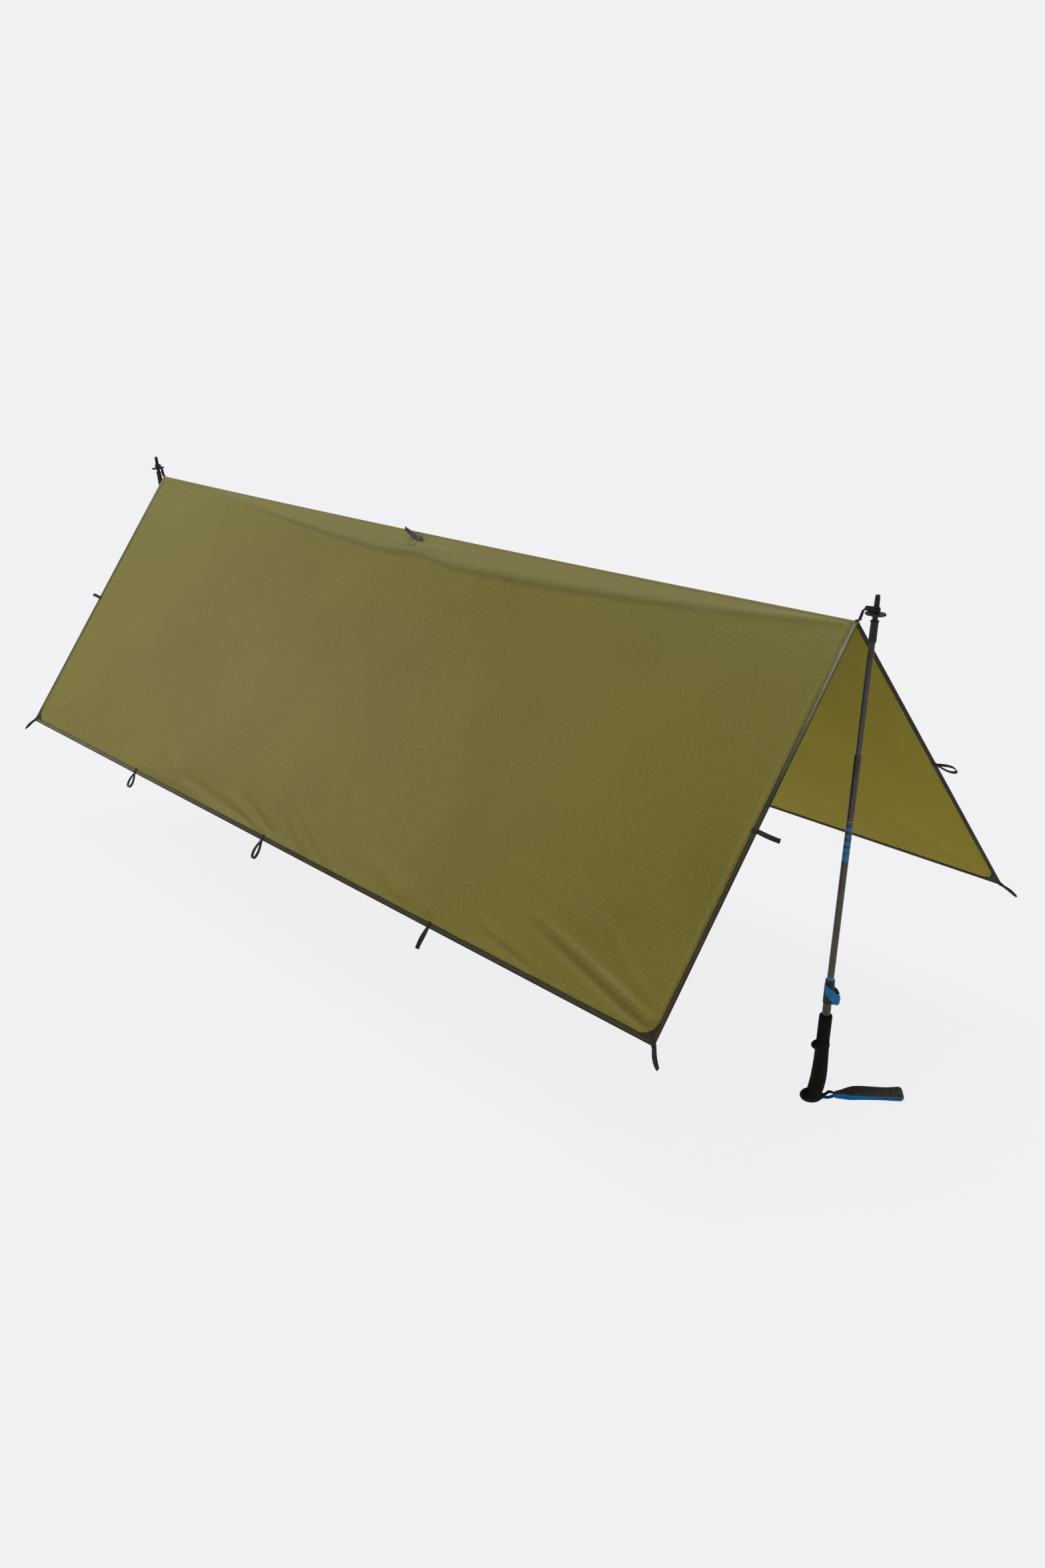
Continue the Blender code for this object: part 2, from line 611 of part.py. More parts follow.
def make_strap(name, lean):
    """Padded loop lying flat on the ground, with the narrow tape that goes round the pin."""
    frame = strap_frame(name + "_frame", lean)
    upright = (math.pi / 2, 0, 0)
    pad_outer = band_outline(STRAP_PAD_START, STRAP_PAD_END, STRAP_PAD_HEIGHT)
    pad_gap = STRAP_PAD_HEIGHT - 2 * STRAP_PAD_LAYER
    pad_inner = band_outline(
        STRAP_PAD_START + STRAP_PAD_LAYER, STRAP_PAD_END - STRAP_PAD_LAYER, pad_gap, 4
    )
    pad = flat_curve(name, [pad_outer, pad_inner], STRAP_PAD_WIDTH)
    strap = curve_to_mesh(new_object(name, pad, STRAP_BLACK, frame, (0, 0, 0), upright))
    tape_outer = band_outline(-STRAP_EYE_OUTER, STRAP_TAPE_REACH, 2 * STRAP_EYE_OUTER)
    tape_inner = band_outline(-STRAP_EYE_INNER, STRAP_PAD_START - STRAP_TAPE, 2 * STRAP_EYE_INNER)
    tape = flat_curve(name + "_tape", [tape_outer, tape_inner], STRAP_TAPE_WIDTH)
    tape = curve_to_mesh(new_object(name + "_tape", tape, STRAP_BLACK, frame, (0, 0, 0), upright))
    boolean(strap, "UNION", tape)
    rod(
        name.replace("wrist_strap", "strap_pin"),
        STRAP_PIN_RADIUS,
        STRAP_PIN_LENGTH,
        STEEL,
        frame,
        (0, 0, 0),
        upright,
        16,
    )
    return strap


def make_clamp(prefix, pole):
    """Split collar at the upper shaft's mouth, with two ears that hold the lever's pin."""
    step_height = CLAMP_TOP - CLAMP_LIP  # the upper shaft ends here, inside the collar
    upper_bore = UPPER_RADIUS + GAP
    middle_bore = MIDDLE_RADIUS + GAP
    lip_radius = CLAMP_RADIUS - CLAMP_WALL / 2
    profile = [
        (lip_radius, CLAMP_TOP),
        (lip_radius, step_height),
        (CLAMP_RADIUS, step_height - 0.001),
        (CLAMP_RADIUS, CLAMP_BOTTOM + 0.003),
        (lip_radius, CLAMP_BOTTOM),
        (upper_bore, CLAMP_BOTTOM),
        (upper_bore, step_height + GAP),
        (middle_bore, step_height + GAP),
        (middle_bore, CLAMP_TOP),
    ]
    clamp = turned(prefix + "_clamp", profile, PLASTIC_BLACK, pole)
    ear_start = CLAMP_RADIUS - CLAMP_WALL * 0.8
    ear_end = PIN_OUT + HUB_RADIUS
    ear_off = HUB_HEIGHT / 2 + GAP + EAR_HEIGHT / 2
    ear_size = (ear_end - ear_start, EAR_WIDTH, EAR_HEIGHT)
    for label, height in (("low", HUB_MIDDLE - ear_off), ("high", HUB_MIDDLE + ear_off)):
        place_at = ((ear_start + ear_end) / 2, 0, height)
        ear = block(f"{prefix}_clamp_ear_{label}", ear_size, PLASTIC_BLACK, pole, place_at)
        boolean(clamp, "UNION", ear)
    length = 2 * (EAR_HEIGHT + GAP) + HUB_HEIGHT
    pin_place = (PIN_OUT, 0, HUB_MIDDLE)
    hole = rod(prefix + "_clamp_hole", PIN_RADIUS + GAP, length + 0.004, PLASTIC_BLACK, pole, pin_place)
    boolean(clamp, "DIFFERENCE", hole)
    rod(prefix + "_lever_pin", PIN_RADIUS, length, STEEL, pole, pin_place)


def make_lever(prefix, pole):
    """Cam lever: a hub on the pin between the ears, and a paddle that climbs round the collar."""
    frame = new_frame(prefix + "_lever_frame", pole, (PIN_OUT, 0, HUB_MIDDLE))
    bm = bmesh.new()
    columns, rows = 12, 3
    wrap = CLAMP_RADIUS + LEVER_CLEARANCE + LEVER_THICKNESS / 2
    edge = HUB_HEIGHT / 2 - 2 * GAP
    grid = []
    for i in range(columns + 1):
        share = i / columns
        turn = LEVER_START - LEVER_SWEEP * share
        climb = max(0.0, share - 0.15) / 0.85
        low = -edge + LEVER_RISE * climb
        high = edge + (LEVER_RISE + LEVER_SPREAD) * climb
        point = (wrap * math.cos(turn) - PIN_OUT, wrap * math.sin(turn))
        grid.append([bm.verts.new((*point, low + (high - low) * j / rows)) for j in range(rows + 1)])
    for one, two in zip(grid, grid[1:]):
        for j in range(rows):
            bm.faces.new((one[j], two[j], two[j + 1], one[j + 1]))
    bmesh.ops.recalc_face_normals(bm, faces=bm.faces)
    lever = new_object(prefix + "_lever", mesh_from(prefix + "_lever", bm), LEVER_BLUE, frame)
    solidify(lever, LEVER_THICKNESS)
    start = Vector((wrap * math.cos(LEVER_START) - PIN_OUT, wrap * math.sin(LEVER_START)))
    web_size = (start.length - LEVER_THICKNESS / 3, LEVER_THICKNESS * 1.2, HUB_HEIGHT - 0.003)
    web_place = (start.x / 2, start.y / 2, 0)
    web_turn = (0, 0, math.atan2(start.y, start.x))
    boolean(lever, "UNION", block(prefix + "_lever_web", web_size, LEVER_BLUE, frame, web_place, web_turn))
    hub = rod(prefix + "_lever_hub", HUB_RADIUS, HUB_HEIGHT, LEVER_BLUE, frame)
    boolean(lever, "UNION", hub)
    bore = rod(prefix + "_lever_bore", PIN_RADIUS + GAP, HUB_HEIGHT + 0.01, LEVER_BLUE, frame)
    boolean(lever, "DIFFERENCE", bore)
    return lever


def make_twist_lock(prefix, pole):
    """Expander lock inside the middle shaft, on the end of the lower shaft."""
    bore = LOWER_RADIUS - LOWER_WALL - GAP
    rod_end = LOWER_START - LOCK_ROD_LENGTH
    seat = LOWER_START - GAP
    profile = [
        (0.0, LOWER_START + LOCK_HEAD_LENGTH),
        (bore, LOWER_START + LOCK_HEAD_LENGTH),
        (bore, seat),
        (LOWER_RADIUS - GAP, seat),
        (LOWER_RADIUS - GAP, seat - LOCK_FLANGE),
        (LOCK_ROD_RADIUS, seat - LOCK_FLANGE),
        (LOCK_ROD_RADIUS, rod_end),
        (0.0, rod_end),
    ]
    turned(prefix + "_lock_spindle", profile, STEEL, pole, SMALL_STEPS)
    sleeve_top = seat - LOCK_FLANGE - GAP
    sleeve_low = sleeve_top - SLEEVE_LENGTH
    sleeve_radius = MIDDLE_RADIUS - MIDDLE_WALL - GAP
    cone_slope = (CONE_WIDE - CONE_NARROW) / CONE_LENGTH
    mouth = CONE_NARROW + CONE_CLEARANCE + cone_slope * SLEEVE_MOUTH_DEPTH
    profile = [
        (sleeve_radius - 0.0005, sleeve_top),
        (sleeve_radius, sleeve_top - 0.0010),
        (sleeve_radius, sleeve_low),
        (mouth, sleeve_low),
        (CONE_NARROW + CONE_CLEARANCE, sleeve_low + SLEEVE_MOUTH_DEPTH),
        (LOCK_ROD_RADIUS + GAP, sleeve_low + SLEEVE_MOUTH_DEPTH),
        (LOCK_ROD_RADIUS + GAP, sleeve_top),
    ]
    turned(prefix + "_lock_sleeve", profile, PLASTIC_BLACK, pole, SMALL_STEPS)
    cone_top = sleeve_low + SLEEVE_MOUTH_DEPTH - GAP - LOCK_TRAVEL
    profile = [
        (CONE_NARROW, cone_top),
        (CONE_WIDE, cone_top - CONE_LENGTH),
        (LOCK_ROD_RADIUS + GAP, cone_top - CONE_LENGTH),
        (LOCK_ROD_RADIUS + GAP, cone_top),
    ]
    turned(prefix + "_lock_cone", profile, STEEL, pole, SMALL_STEPS)


def make_tip(prefix, pole):
    """Ferrule with its collar, basket and tip, at the top of the upturned pole."""
    socket = LOWER_RADIUS + GAP
    basket_top = BASKET_HEIGHT + BASKET_THICKNESS
    neck_top = basket_top + 0.004
    profile = [
        (0.0, neck_top),
        (NECK_RADIUS, neck_top),
        (NECK_RADIUS, COLLAR_HEIGHT + COLLAR_THICKNESS / 2),
        (COLLAR_RADIUS - 0.001, COLLAR_HEIGHT + COLLAR_THICKNESS / 2),
        (COLLAR_RADIUS, COLLAR_HEIGHT),
        (COLLAR_RADIUS - 0.001, COLLAR_HEIGHT - COLLAR_THICKNESS / 2),
        (FERRULE_RADIUS, COLLAR_HEIGHT - COLLAR_THICKNESS / 2),
        (FERRULE_RADIUS, FERRULE_BOTTOM + 0.006),
        (FERRULE_RADIUS - 0.0006, FERRULE_BOTTOM),
        (socket, FERRULE_BOTTOM),
        (socket, LOWER_END + GAP),
        (0.0, LOWER_END + GAP),
    ]
    turned(prefix + "_ferrule", profile, PLASTIC_BLACK, pole)
    outline = []
    petal_steps = 6
    for notch in range(BASKET_NOTCHES):
        for i in range(petal_steps):
            turn = 2 * math.pi * (notch + i / petal_steps) / BASKET_NOTCHES
            dip = NOTCH_RADIUS if i == 0 else 0.0
            outline.append(((BASKET_RADIUS - dip) * math.cos(turn), (BASKET_RADIUS - dip) * math.sin(turn)))
    bore_radius = NECK_RADIUS + GAP
    turns = [2 * math.pi * i / SMALL_STEPS for i in range(SMALL_STEPS)]
    bore = [(bore_radius * math.cos(a), bore_radius * math.sin(a)) for a in turns]
    curve = flat_curve(prefix + "_basket", [outline, bore], BASKET_THICKNESS)
    middle = BASKET_HEIGHT + BASKET_THICKNESS / 2
    new_object(prefix + "_basket", curve, PLASTIC_BLACK, pole, (0, 0, middle))
    root = neck_top + GAP
    profile = [
        (0.0, POLE_LENGTH),
        (TIP_END_RADIUS * 0.7, POLE_LENGTH - 0.0008),
        (TIP_END_RADIUS, POLE_LENGTH - 0.0035),
        (TIP_ROOT_RADIUS - 0.0004, root + 0.002),
        (TIP_ROOT_RADIUS - 0.0008, root),
        (0.0, root),
    ]
    turned(prefix + "_tip", profile, PLASTIC_BLACK, pole)


def make_ridge_end_loop(name, lean):
    """Webbing that rises from the end of the ridge seam and goes round the pole's tip, on the basket."""
    tip = station(BASKET_HEIGHT + BASKET_THICKNESS + GAP + WEBBING_WIDTH / 2) - LEAN_PIVOT
    ring_radius = TIP_ROOT_RADIUS + RING_CLEARANCE
    ring_width = WEBBING_WIDTH - 2 * RING_TILT_ROOM
    ring_up = tip.z + RING_TILT_ROOM / 2
    steps = 14

    def teardrop(radius, point_x):
        """Outline of two straight runs from a point to a circle about the origin."""
        lean_in = math.acos(radius / -point_x)
        turns = [math.pi - lean_in - 2 * (math.pi - lean_in) * i / steps for i in range(steps + 1)]
        return [(radius * math.cos(a), radius * math.sin(a)) for a in turns] + [(point_x, 0.0)]

    outlines = [teardrop(ring_radius + WEBBING, -tip.x), teardrop(ring_radius, 7 * WEBBING - tip.x)]
    ring = flat_curve(name, outlines, ring_width)
    loop = curve_to_mesh(new_object(name, ring, WEBBING_BLACK, lean, (tip.x, tip.y, ring_up)))
    rise = ring_up + ring_width / 2 - RING_TILT_ROOM / 2
    low = -WEBBING / 2
    strap_size = (2 * WEBBING, WEBBING_WIDTH, rise - low)
    strap = block(name + "_strap", strap_size, WEBBING_BLACK, lean, (0, 0, (rise + low) / 2))
    boolean(loop, "UNION", strap)
    along_y = (math.pi / 2, 0, 0)
    root_length = WEBBING_WIDTH - 2 * GAP
    root = rod(name + "_root", WEBBING, root_length, WEBBING_BLACK, lean, (0, 0, 0), along_y, 16)
    boolean(loop, "UNION", root)
    web_size = (8 * WEBBING, 2 * WEBBING, ring_width - 3 * RING_TILT_ROOM)
    web = block(name + "_web", web_size, WEBBING_BLACK, lean, (4 * WEBBING, 0, ring_up))
    boolean(loop, "UNION", web)
    return loop


def make_pole(prefix, half):
    lean = new_frame(prefix + "_lean", half, LEAN_PIVOT)
    pole = new_frame(prefix, lean, POLE_FOOT - LEAN_PIVOT, pole_rotation())
    make_grip(prefix + "_grip", pole, lean, half)
    make_strap(prefix + "_wrist_strap", lean)
    make_ridge_end_loop(prefix.replace("pole", "ridge_loop"), lean)
    foam_low = GRIP_LENGTH + GAP
    profile = [
        (FOAM_RADIUS - 0.0015, FOAM_TOP),
        (FOAM_RADIUS, FOAM_TOP - 0.0020),
        (FOAM_RADIUS, foam_low),
        (UPPER_RADIUS + GAP, foam_low),
        (UPPER_RADIUS + GAP, FOAM_TOP),
    ]
    turned(prefix + "_foam_sleeve", profile, FOAM_BLACK, pole)
    upper_inner = UPPER_RADIUS - UPPER_WALL
    profile = tube_profile(UPPER_RADIUS, upper_inner, UPPER_START, CLAMP_TOP - CLAMP_LIP)
    turned(prefix + "_upper_shaft", profile, SHAFT_GREY, pole)
    middle_start = CLAMP_TOP - MIDDLE_IN_UPPER
    profile = tube_profile(MIDDLE_RADIUS, MIDDLE_RADIUS - MIDDLE_WALL, middle_start, MIDDLE_TOP)
    turned(prefix + "_middle_shaft", profile, SHAFT_GREY, pole)
    profile = tube_profile(LOWER_RADIUS, LOWER_RADIUS - LOWER_WALL, LOWER_START, LOWER_END)
    turned(prefix + "_lower_shaft", profile, SHAFT_GREY, pole)
    make_clamp(prefix, pole)
    make_lever(prefix, pole)
    make_twist_lock(prefix, pole)
    make_tip(prefix, pole)
    return pole


def main():
    make_ridge_seam()
    for side_name, ends, turn in (("front", ("near", "far"), 0.0), ("back", ("far", "near"), math.pi)):
        half = new_frame(side_name + "_half", None, (0, 0, 0), (0, 0, turn))
        slope = make_canopy_half(side_name, ends, half)
        if side_name == "front":
            make_ridge_middle(slope)
        make_pole(ends[0] + "_pole", half)
    for obj in PARTS.objects:
        if obj.type == "MESH":
            smooth_rounds(obj)


main()
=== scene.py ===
# %% [markdown]
# # A camping tarp on two trekking poles
# The real object is one rectangle of coated ripstop nylon with taped edges, hung over a ridge seam and
# held up by two trekking poles that stand upside down. Its exact solids come from a fixed frame.
# This script dresses them: cloth with folds, tape, webbing, stitches, foam and anodised tubes.

# %% Load the fixed frame
import math

import bmesh
import bpy
import numpy as np
from mathutils import Matrix, Vector


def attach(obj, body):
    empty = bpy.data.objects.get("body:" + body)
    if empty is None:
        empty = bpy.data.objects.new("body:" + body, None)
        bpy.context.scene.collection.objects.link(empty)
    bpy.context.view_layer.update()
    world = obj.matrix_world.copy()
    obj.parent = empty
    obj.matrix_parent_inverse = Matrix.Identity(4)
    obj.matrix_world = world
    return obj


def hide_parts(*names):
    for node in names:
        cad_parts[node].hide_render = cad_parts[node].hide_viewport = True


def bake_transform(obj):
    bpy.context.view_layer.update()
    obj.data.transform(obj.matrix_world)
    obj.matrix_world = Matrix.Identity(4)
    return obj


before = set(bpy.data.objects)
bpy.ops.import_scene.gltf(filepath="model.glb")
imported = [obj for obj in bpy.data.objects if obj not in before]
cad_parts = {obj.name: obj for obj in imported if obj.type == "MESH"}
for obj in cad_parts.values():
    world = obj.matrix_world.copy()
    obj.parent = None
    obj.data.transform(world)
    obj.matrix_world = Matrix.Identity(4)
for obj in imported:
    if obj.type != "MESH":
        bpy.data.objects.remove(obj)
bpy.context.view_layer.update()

# %% [markdown]
# ## The camera
# The photograph was taken from the near end, a little above the ridge. The corners of the tarp that it
# shows fix the camera: it stands 3.5 m out beside the near pole, 1.84 m up, and looks 19.7 degrees
# down with a lens of about 36 mm. A slight roll follows the photograph too.

# %% Camera
CAMERA_AT = (3.452, -2.424, 1.842)
CAMERA_YAW, CAMERA_PITCH, CAMERA_ROLL = 141.51, -19.74, -2.06  # degrees
CAMERA_LENS, CAMERA_SENSOR = 35.88, 36.0  # millimetres


def placed(name, data):
    """Puts an object with this data in the scene."""
    made = bpy.data.objects.new(name, data)
    bpy.context.scene.collection.objects.link(made)
    return made


def turn_about(axis, degrees):
    return Matrix.Rotation(math.radians(degrees), 4, axis)


camera_data = bpy.data.cameras.new("camera")
camera_data.lens, camera_data.sensor_width = CAMERA_LENS, CAMERA_SENSOR
camera = placed("camera", camera_data)
aim = turn_about("Z", CAMERA_YAW - 90) @ turn_about("X", 90 + CAMERA_PITCH) @ turn_about("Z", CAMERA_ROLL)
camera.matrix_world = Matrix.Translation(CAMERA_AT) @ aim
bpy.context.scene.camera = camera
print("camera looks along", tuple(round(c, 3) for c in camera.matrix_world.to_quaternion() @ Vector((0, 0, -1))))

# %% [markdown]
# ## A plain studio
# Outdoor gear is photographed on a lit white table: the floor glows almost as brightly as the
# background, so shadows stay faint. One broad sun-like light from the upper left gives the cloth its
# gentle shading, and a dim even sky fills the rest.

# %% Studio
def srgb(code, alpha=1.0):
    """The linear colour of an sRGB hex value, which is how Blender's sockets take it."""
    shares = [int(code[i : i + 2], 16) / 255 for i in (1, 3, 5)]
    return (*[s / 12.92 if s <= 0.04045 else ((s + 0.055) / 1.055) ** 2.4 for s in shares], alpha)


def give(tree, node, inputs):
    """Sets a node's inputs: another node's socket is joined, and anything else is a value."""
    for key, value in inputs.items():
        if isinstance(value, bpy.types.NodeSocket):
            tree.links.new(value, node.inputs[key])
        else:
            node.inputs[key].default_value = value


def add_node(tree, kind, inputs=None, **settings):
    """Adds one node to a tree, with its settings and its inputs."""
    made = tree.nodes.new(kind)
    for key, value in settings.items():
        setattr(made, key, value)
    give(tree, made, inputs or {})
    return made


def mesh_of(bm, name):
    """Turns a bmesh into a mesh."""
    mesh = bpy.data.meshes.new(name)
    bm.to_mesh(mesh)
    bm.free()
    return mesh


def add_light(name, kind, energy, away, at=(0, 0, 0)):
    """A light at a place, shining against a direction."""
    light = placed(name, bpy.data.lights.new(name, kind))
    light.data.energy = energy
    light.location = at
    light.rotation_mode = "QUATERNION"
    light.rotation_quaternion = Vector(away).to_track_quat("Z", "Y")
    return light.data


BACKGROUND = "#f1f1f3"
SKY_FILL, TABLE_GLOW, TABLE_WHITE, TABLE_RADIUS = 0.50, 0.962, 0.034, 60.0
KEY_STRENGTH, KEY_FROM, KEY_SPREAD = 1.95, (-0.32, 0.02, 0.95), math.radians(32)
SOFTBOX_WATTS, SOFTBOX_SIZE = 20.0, 1.3
SOFTBOX_AT, SOFTBOX_AIM = Vector((-2.7, -1.8, 2.0)), Vector((-1.4, -0.3, 0.6))
scene = bpy.context.scene
scene.view_settings.view_transform = "Standard"
scene.world = bpy.data.worlds.new("studio")
scene.world.use_nodes = True
sky = scene.world.node_tree
sky.nodes.clear()
path = add_node(sky, "ShaderNodeLightPath")
seen = add_node(sky, "ShaderNodeBackground", {"Color": srgb(BACKGROUND), "Strength": 1.0})
fill = add_node(sky, "ShaderNodeBackground", {"Color": srgb("#f6f7fc"), "Strength": SKY_FILL})
either = {0: path.outputs["Is Camera Ray"], 1: fill.outputs[0], 2: seen.outputs[0]}
add_node(sky, "ShaderNodeOutputWorld", {"Surface": add_node(sky, "ShaderNodeMixShader", either).outputs[0]})

floor_look = bpy.data.materials.new("lit_table")
floor_look.use_nodes = True
table = floor_look.node_tree
table.nodes.clear()
glow = add_node(table, "ShaderNodeEmission", {"Color": srgb(BACKGROUND), "Strength": TABLE_GLOW})
paper = add_node(table, "ShaderNodeBsdfDiffuse", {"Color": (TABLE_WHITE, TABLE_WHITE, TABLE_WHITE, 1.0)})
both = add_node(table, "ShaderNodeAddShader", {0: glow.outputs[0], 1: paper.outputs[0]})
add_node(table, "ShaderNodeOutputMaterial", {"Surface": both.outputs[0]})
disc = bmesh.new()
bmesh.ops.create_circle(disc, cap_ends=True, segments=96, radius=TABLE_RADIUS)
floor = placed("floor", mesh_of(disc, "floor"))
floor.data.materials.append(floor_look)

add_light("key", "SUN", KEY_STRENGTH, KEY_FROM).angle = KEY_SPREAD
# A second softbox stands off the far end, so the light falls away towards the near end.
softbox = add_light("far_softbox", "AREA", SOFTBOX_WATTS, SOFTBOX_AT - SOFTBOX_AIM, SOFTBOX_AT)
softbox.shape = "SQUARE"
softbox.size = SOFTBOX_SIZE

# %% [markdown]
# ## Pitched size
# Every place on the cloth is given by two lengths: x along the ridge, positive towards the near end,
# and the distance down the slope. A third, small one lifts a point off the flat slope. The back slope
# is the front one turned half a turn about the upright axis, as the solids are.

# %% Slopes
RIDGE_Z = 1.070
HALF = 1.500  # half the ridge
SLOPE = 0.936
RUN = 0.569 / SLOPE  # sideways, for each metre down the slope
DROP = math.sqrt(1 - RUN**2)
EDGE_TAPE = 0.013
SIDES = {"front": 1, "back": -1}


def smooth(value):
    """Eases from 0 to 1."""
    value = np.clip(value, 0.0, 1.0)
    return value * value * (3 - 2 * value)


def on_slope(side, x, down, lift=0.0):
    """World points of a slope; side is 1 on the front and -1 on the back."""
    x, down, lift = np.broadcast_arrays(*(np.asarray(a, float) for a in (x, down, lift)))
    y = -(RUN * down + DROP * lift)
    z = RIDGE_Z - DROP * down + RUN * lift
    return np.stack([side * x, side * y, z], axis=-1)


def slope_way(side, along, outward_down, lift=0.0):
    """A direction in a slope's own axes as a world direction."""
    return on_slope(side, along, outward_down, lift) - on_slope(side, 0.0, 0.0)


print("the slopes stand", round(math.degrees(math.asin(RUN)), 1), "degrees off upright")


# %% [markdown]
# ## How the cloth hangs
# Pulled at its corners and loops, the cloth is nearly flat, and what the eye reads as cloth are its
# few folds. Below the ridge it rolls out and drops off a lip, because the seam is shorter than the
# cloth beside it. Straight creases run from the corners and loops that carry the pull. Each of
# them is a line on the slope with a width and a height, so it can be moved by itself.

# %% Folds
ROLL_HEIGHT = 0.0115
SEAM_SAG = 0.007
CREASES = [  # millimetres: start and end (along the ridge, down the slope), width, height
    # at the near corner
    (960, 782, 1580, 919, 11.0, 7.8), (1000, 812, 1560, 936, 11.5, -6.2), (1080, 668, 1520, 906, 13.0, 5.0),
    (860, 700, 1260, 792, 18.0, 2.2),
    # along the near half of the hem
    (880, 862, 1200, 918, 11.0, 3.4), (840, 878, 1160, 920, 10.0, -2.6), (430, 838, 660, 915, 16.0, 4.5),
    (560, 846, 760, 915, 16.0, 2.5),
    # at the hem's middle loop
    (-260, 862, 50, 930, 7.5, 5.5), (-200, 842, 70, 922, 8.5, -4.2), (-60, 790, 250, 935, 10.0, 7.0),
    (50, 800, 350, 930, 11.0, 4.0),
    # along the far half of the hem, and at the far corner
    (-560, 868, -40, 916, 13.0, -3.5), (-700, 800, -480, 900, 20.0, 2.5), (-1450, 905, -1200, 740, 20.0, 1.8),
    # at both ends of the ridge
    (-1540, -8, -1220, 50, 7.0, 4.2), (-1530, -8, -1260, 110, 12.0, -3.4), (1485, 6, 1000, 60, 12.0, 2.2),
    # beside the ridge patch
    (-160, 28, 0, 46, 7.0, 2.6), (12, 44, 200, 36, 7.0, 2.2),
]


def crease(x, down, x0, down0, x1, down1, width, height):
    """A straight fold between two points of the slope, highest halfway along."""
    length = math.hypot(x1 - x0, down1 - down0)
    ux, ud = (x1 - x0) / length, (down1 - down0) / length
    along = ((x - x0) * ux + (down - down0) * ud) / length
    across = (down - down0) * ux - (x - x0) * ud
    ends = smooth(along / 0.35) * smooth((1 - along) / 0.25)
    return height * np.exp(-((across / width) ** 2)) * ends


def ridge_lip(x):
    """How strong the roll beside the ridge is, from 0 to 1, and how far down its lip lies."""
    share = np.clip(np.cos(math.pi * (x - 0.18) / 2.7), 0.0, 1.0)
    return share, 0.004 + 0.066 * share - 0.014 * np.exp(-(((x - 0.05) / 0.10) ** 2))


def ridge_roll(x, down):
    """The cloth swells out below the seam and drops off a lip, furthest down at the middle."""
    share, lip = ridge_lip(x)
    fall = 0.012 + 0.020 * share
    rise = np.clip(down / lip, 0.0, 1.6)
    return ROLL_HEIGHT * share**0.7 * rise * (1 - smooth((down - lip + fall * 0.25) / fall))


def painted_sheen_share(x, down):
    """How much painted sheen the cloth gets, a paler, greyer colour for reflected light: most on the roll beside the
    ridge, which lies flattest, and more towards both ends.
    """
    on_roll = 1 - smooth((down - ridge_lip(x)[1] + 0.009) / 0.018)
    far_end = smooth((-0.5 - x) / 0.9) * np.exp(-down / 0.45)
    near_end = smooth((x - 0.4) / 0.9) * np.exp(-down / 0.25)
    return np.clip(0.78 * on_roll + 0.45 * far_end + 0.60 * near_end + 0.22 * np.exp(-down / 0.12), 0.0, 1.0)


def cloth_lift(x, down):
    """Height of the cloth off the flat slope."""
    from_side = HALF - np.abs(x) - EDGE_TAPE
    from_hem = SLOPE - down - EDGE_TAPE
    sway = 0.0022 * np.sin(2.1 * x + 0.6) * np.sin(5.2 * down + 1.3 * x)
    sway += 0.0014 * np.sin(5.3 * x + 4.1 * down + 1.0) + 0.0007 * np.sin(9.7 * x - 6.3 * down)
    lift = ridge_roll(x, down) + sway * smooth(down / 0.10)
    for places in np.array(CREASES) / 1000:
        lift = lift + crease(x, down, *places)
    pucker = 0.00045 * np.sin(x * 2 * math.pi / 0.041 + 3 * np.sin(7 * x))
    pucker *= np.exp(-(np.maximum(from_hem, 0) / 0.030) ** 2)
    pull = 0.00045 * np.sin(down * 2 * math.pi / 0.045 + 2 * np.sin(9 * down))
    pull *= np.exp(-(np.maximum(from_side, 0) / 0.030) ** 2)
    calm = smooth(from_side / 0.022) * smooth(from_hem / 0.022) * smooth(down / 0.008)
    welt = 0.0026 * np.exp(-(((from_side - 0.0075) / 0.0036) ** 2)) * smooth(from_hem / 0.03) * smooth(down / 0.02)
    welt = welt * (0.75 + 0.25 * np.sin(down * 31.0 + 2.0 * np.sin(down * 9.0)))
    return (lift + pucker + pull) * calm + welt


def ridge_sag(x, down=0.0):
    """How far the ridge and the cloth beside it hang below the straight line between the poles."""
    return SEAM_SAG * (1 - (np.asarray(x) / HALF) ** 2) * np.exp(-np.asarray(down) / 0.20)


def hung(side, x, down, lift=0.0):
    """World points at a height off the flat slope, which hang with the ridge."""
    points = on_slope(side, x, down, lift)
    points[..., 2] -= ridge_sag(x, down)
    return points


def cloth_point(side, x, down, off=0.0):
    """World point of the cloth's middle, or a height off it."""
    return hung(side, x, down, cloth_lift(x, down) + off)


print(len(CREASES), "creases; the ridge hangs", SEAM_SAG, "m lower at its middle")


# %% [markdown]
# ## Building surfaces
# Most pieces here are a grid of points bent into shape: a sheet, a strip of tape, a tube. One
# function makes such a grid into a mesh and writes its UV map in metres, so that a weave of 1 mm is
# 1 mm on every piece. Shapes are finished at the origin, as the frame's own pieces are.

# %% Mesh helpers
def shade(mesh):
    """Smooth shading, with sharp edges where faces meet at more than 40 degrees."""
    mesh.shade_smooth()
    mesh.set_sharp_from_angle(angle=math.radians(40))


def finish_mesh(name, mesh, looks, slots=None):
    """Gives a mesh its materials and smooth shading, and puts it in the scene.

    slots numbers the material of each face, where the mesh doesn't hold these numbers itself.
    """
    if slots is None:
        slots = [face.material_index for face in mesh.polygons]
    mesh.name = name
    mesh.materials.clear()
    for look in looks:
        mesh.materials.append(look)
    mesh.polygons.foreach_set("material_index", slots)
    shade(mesh)
    return placed(name, mesh)


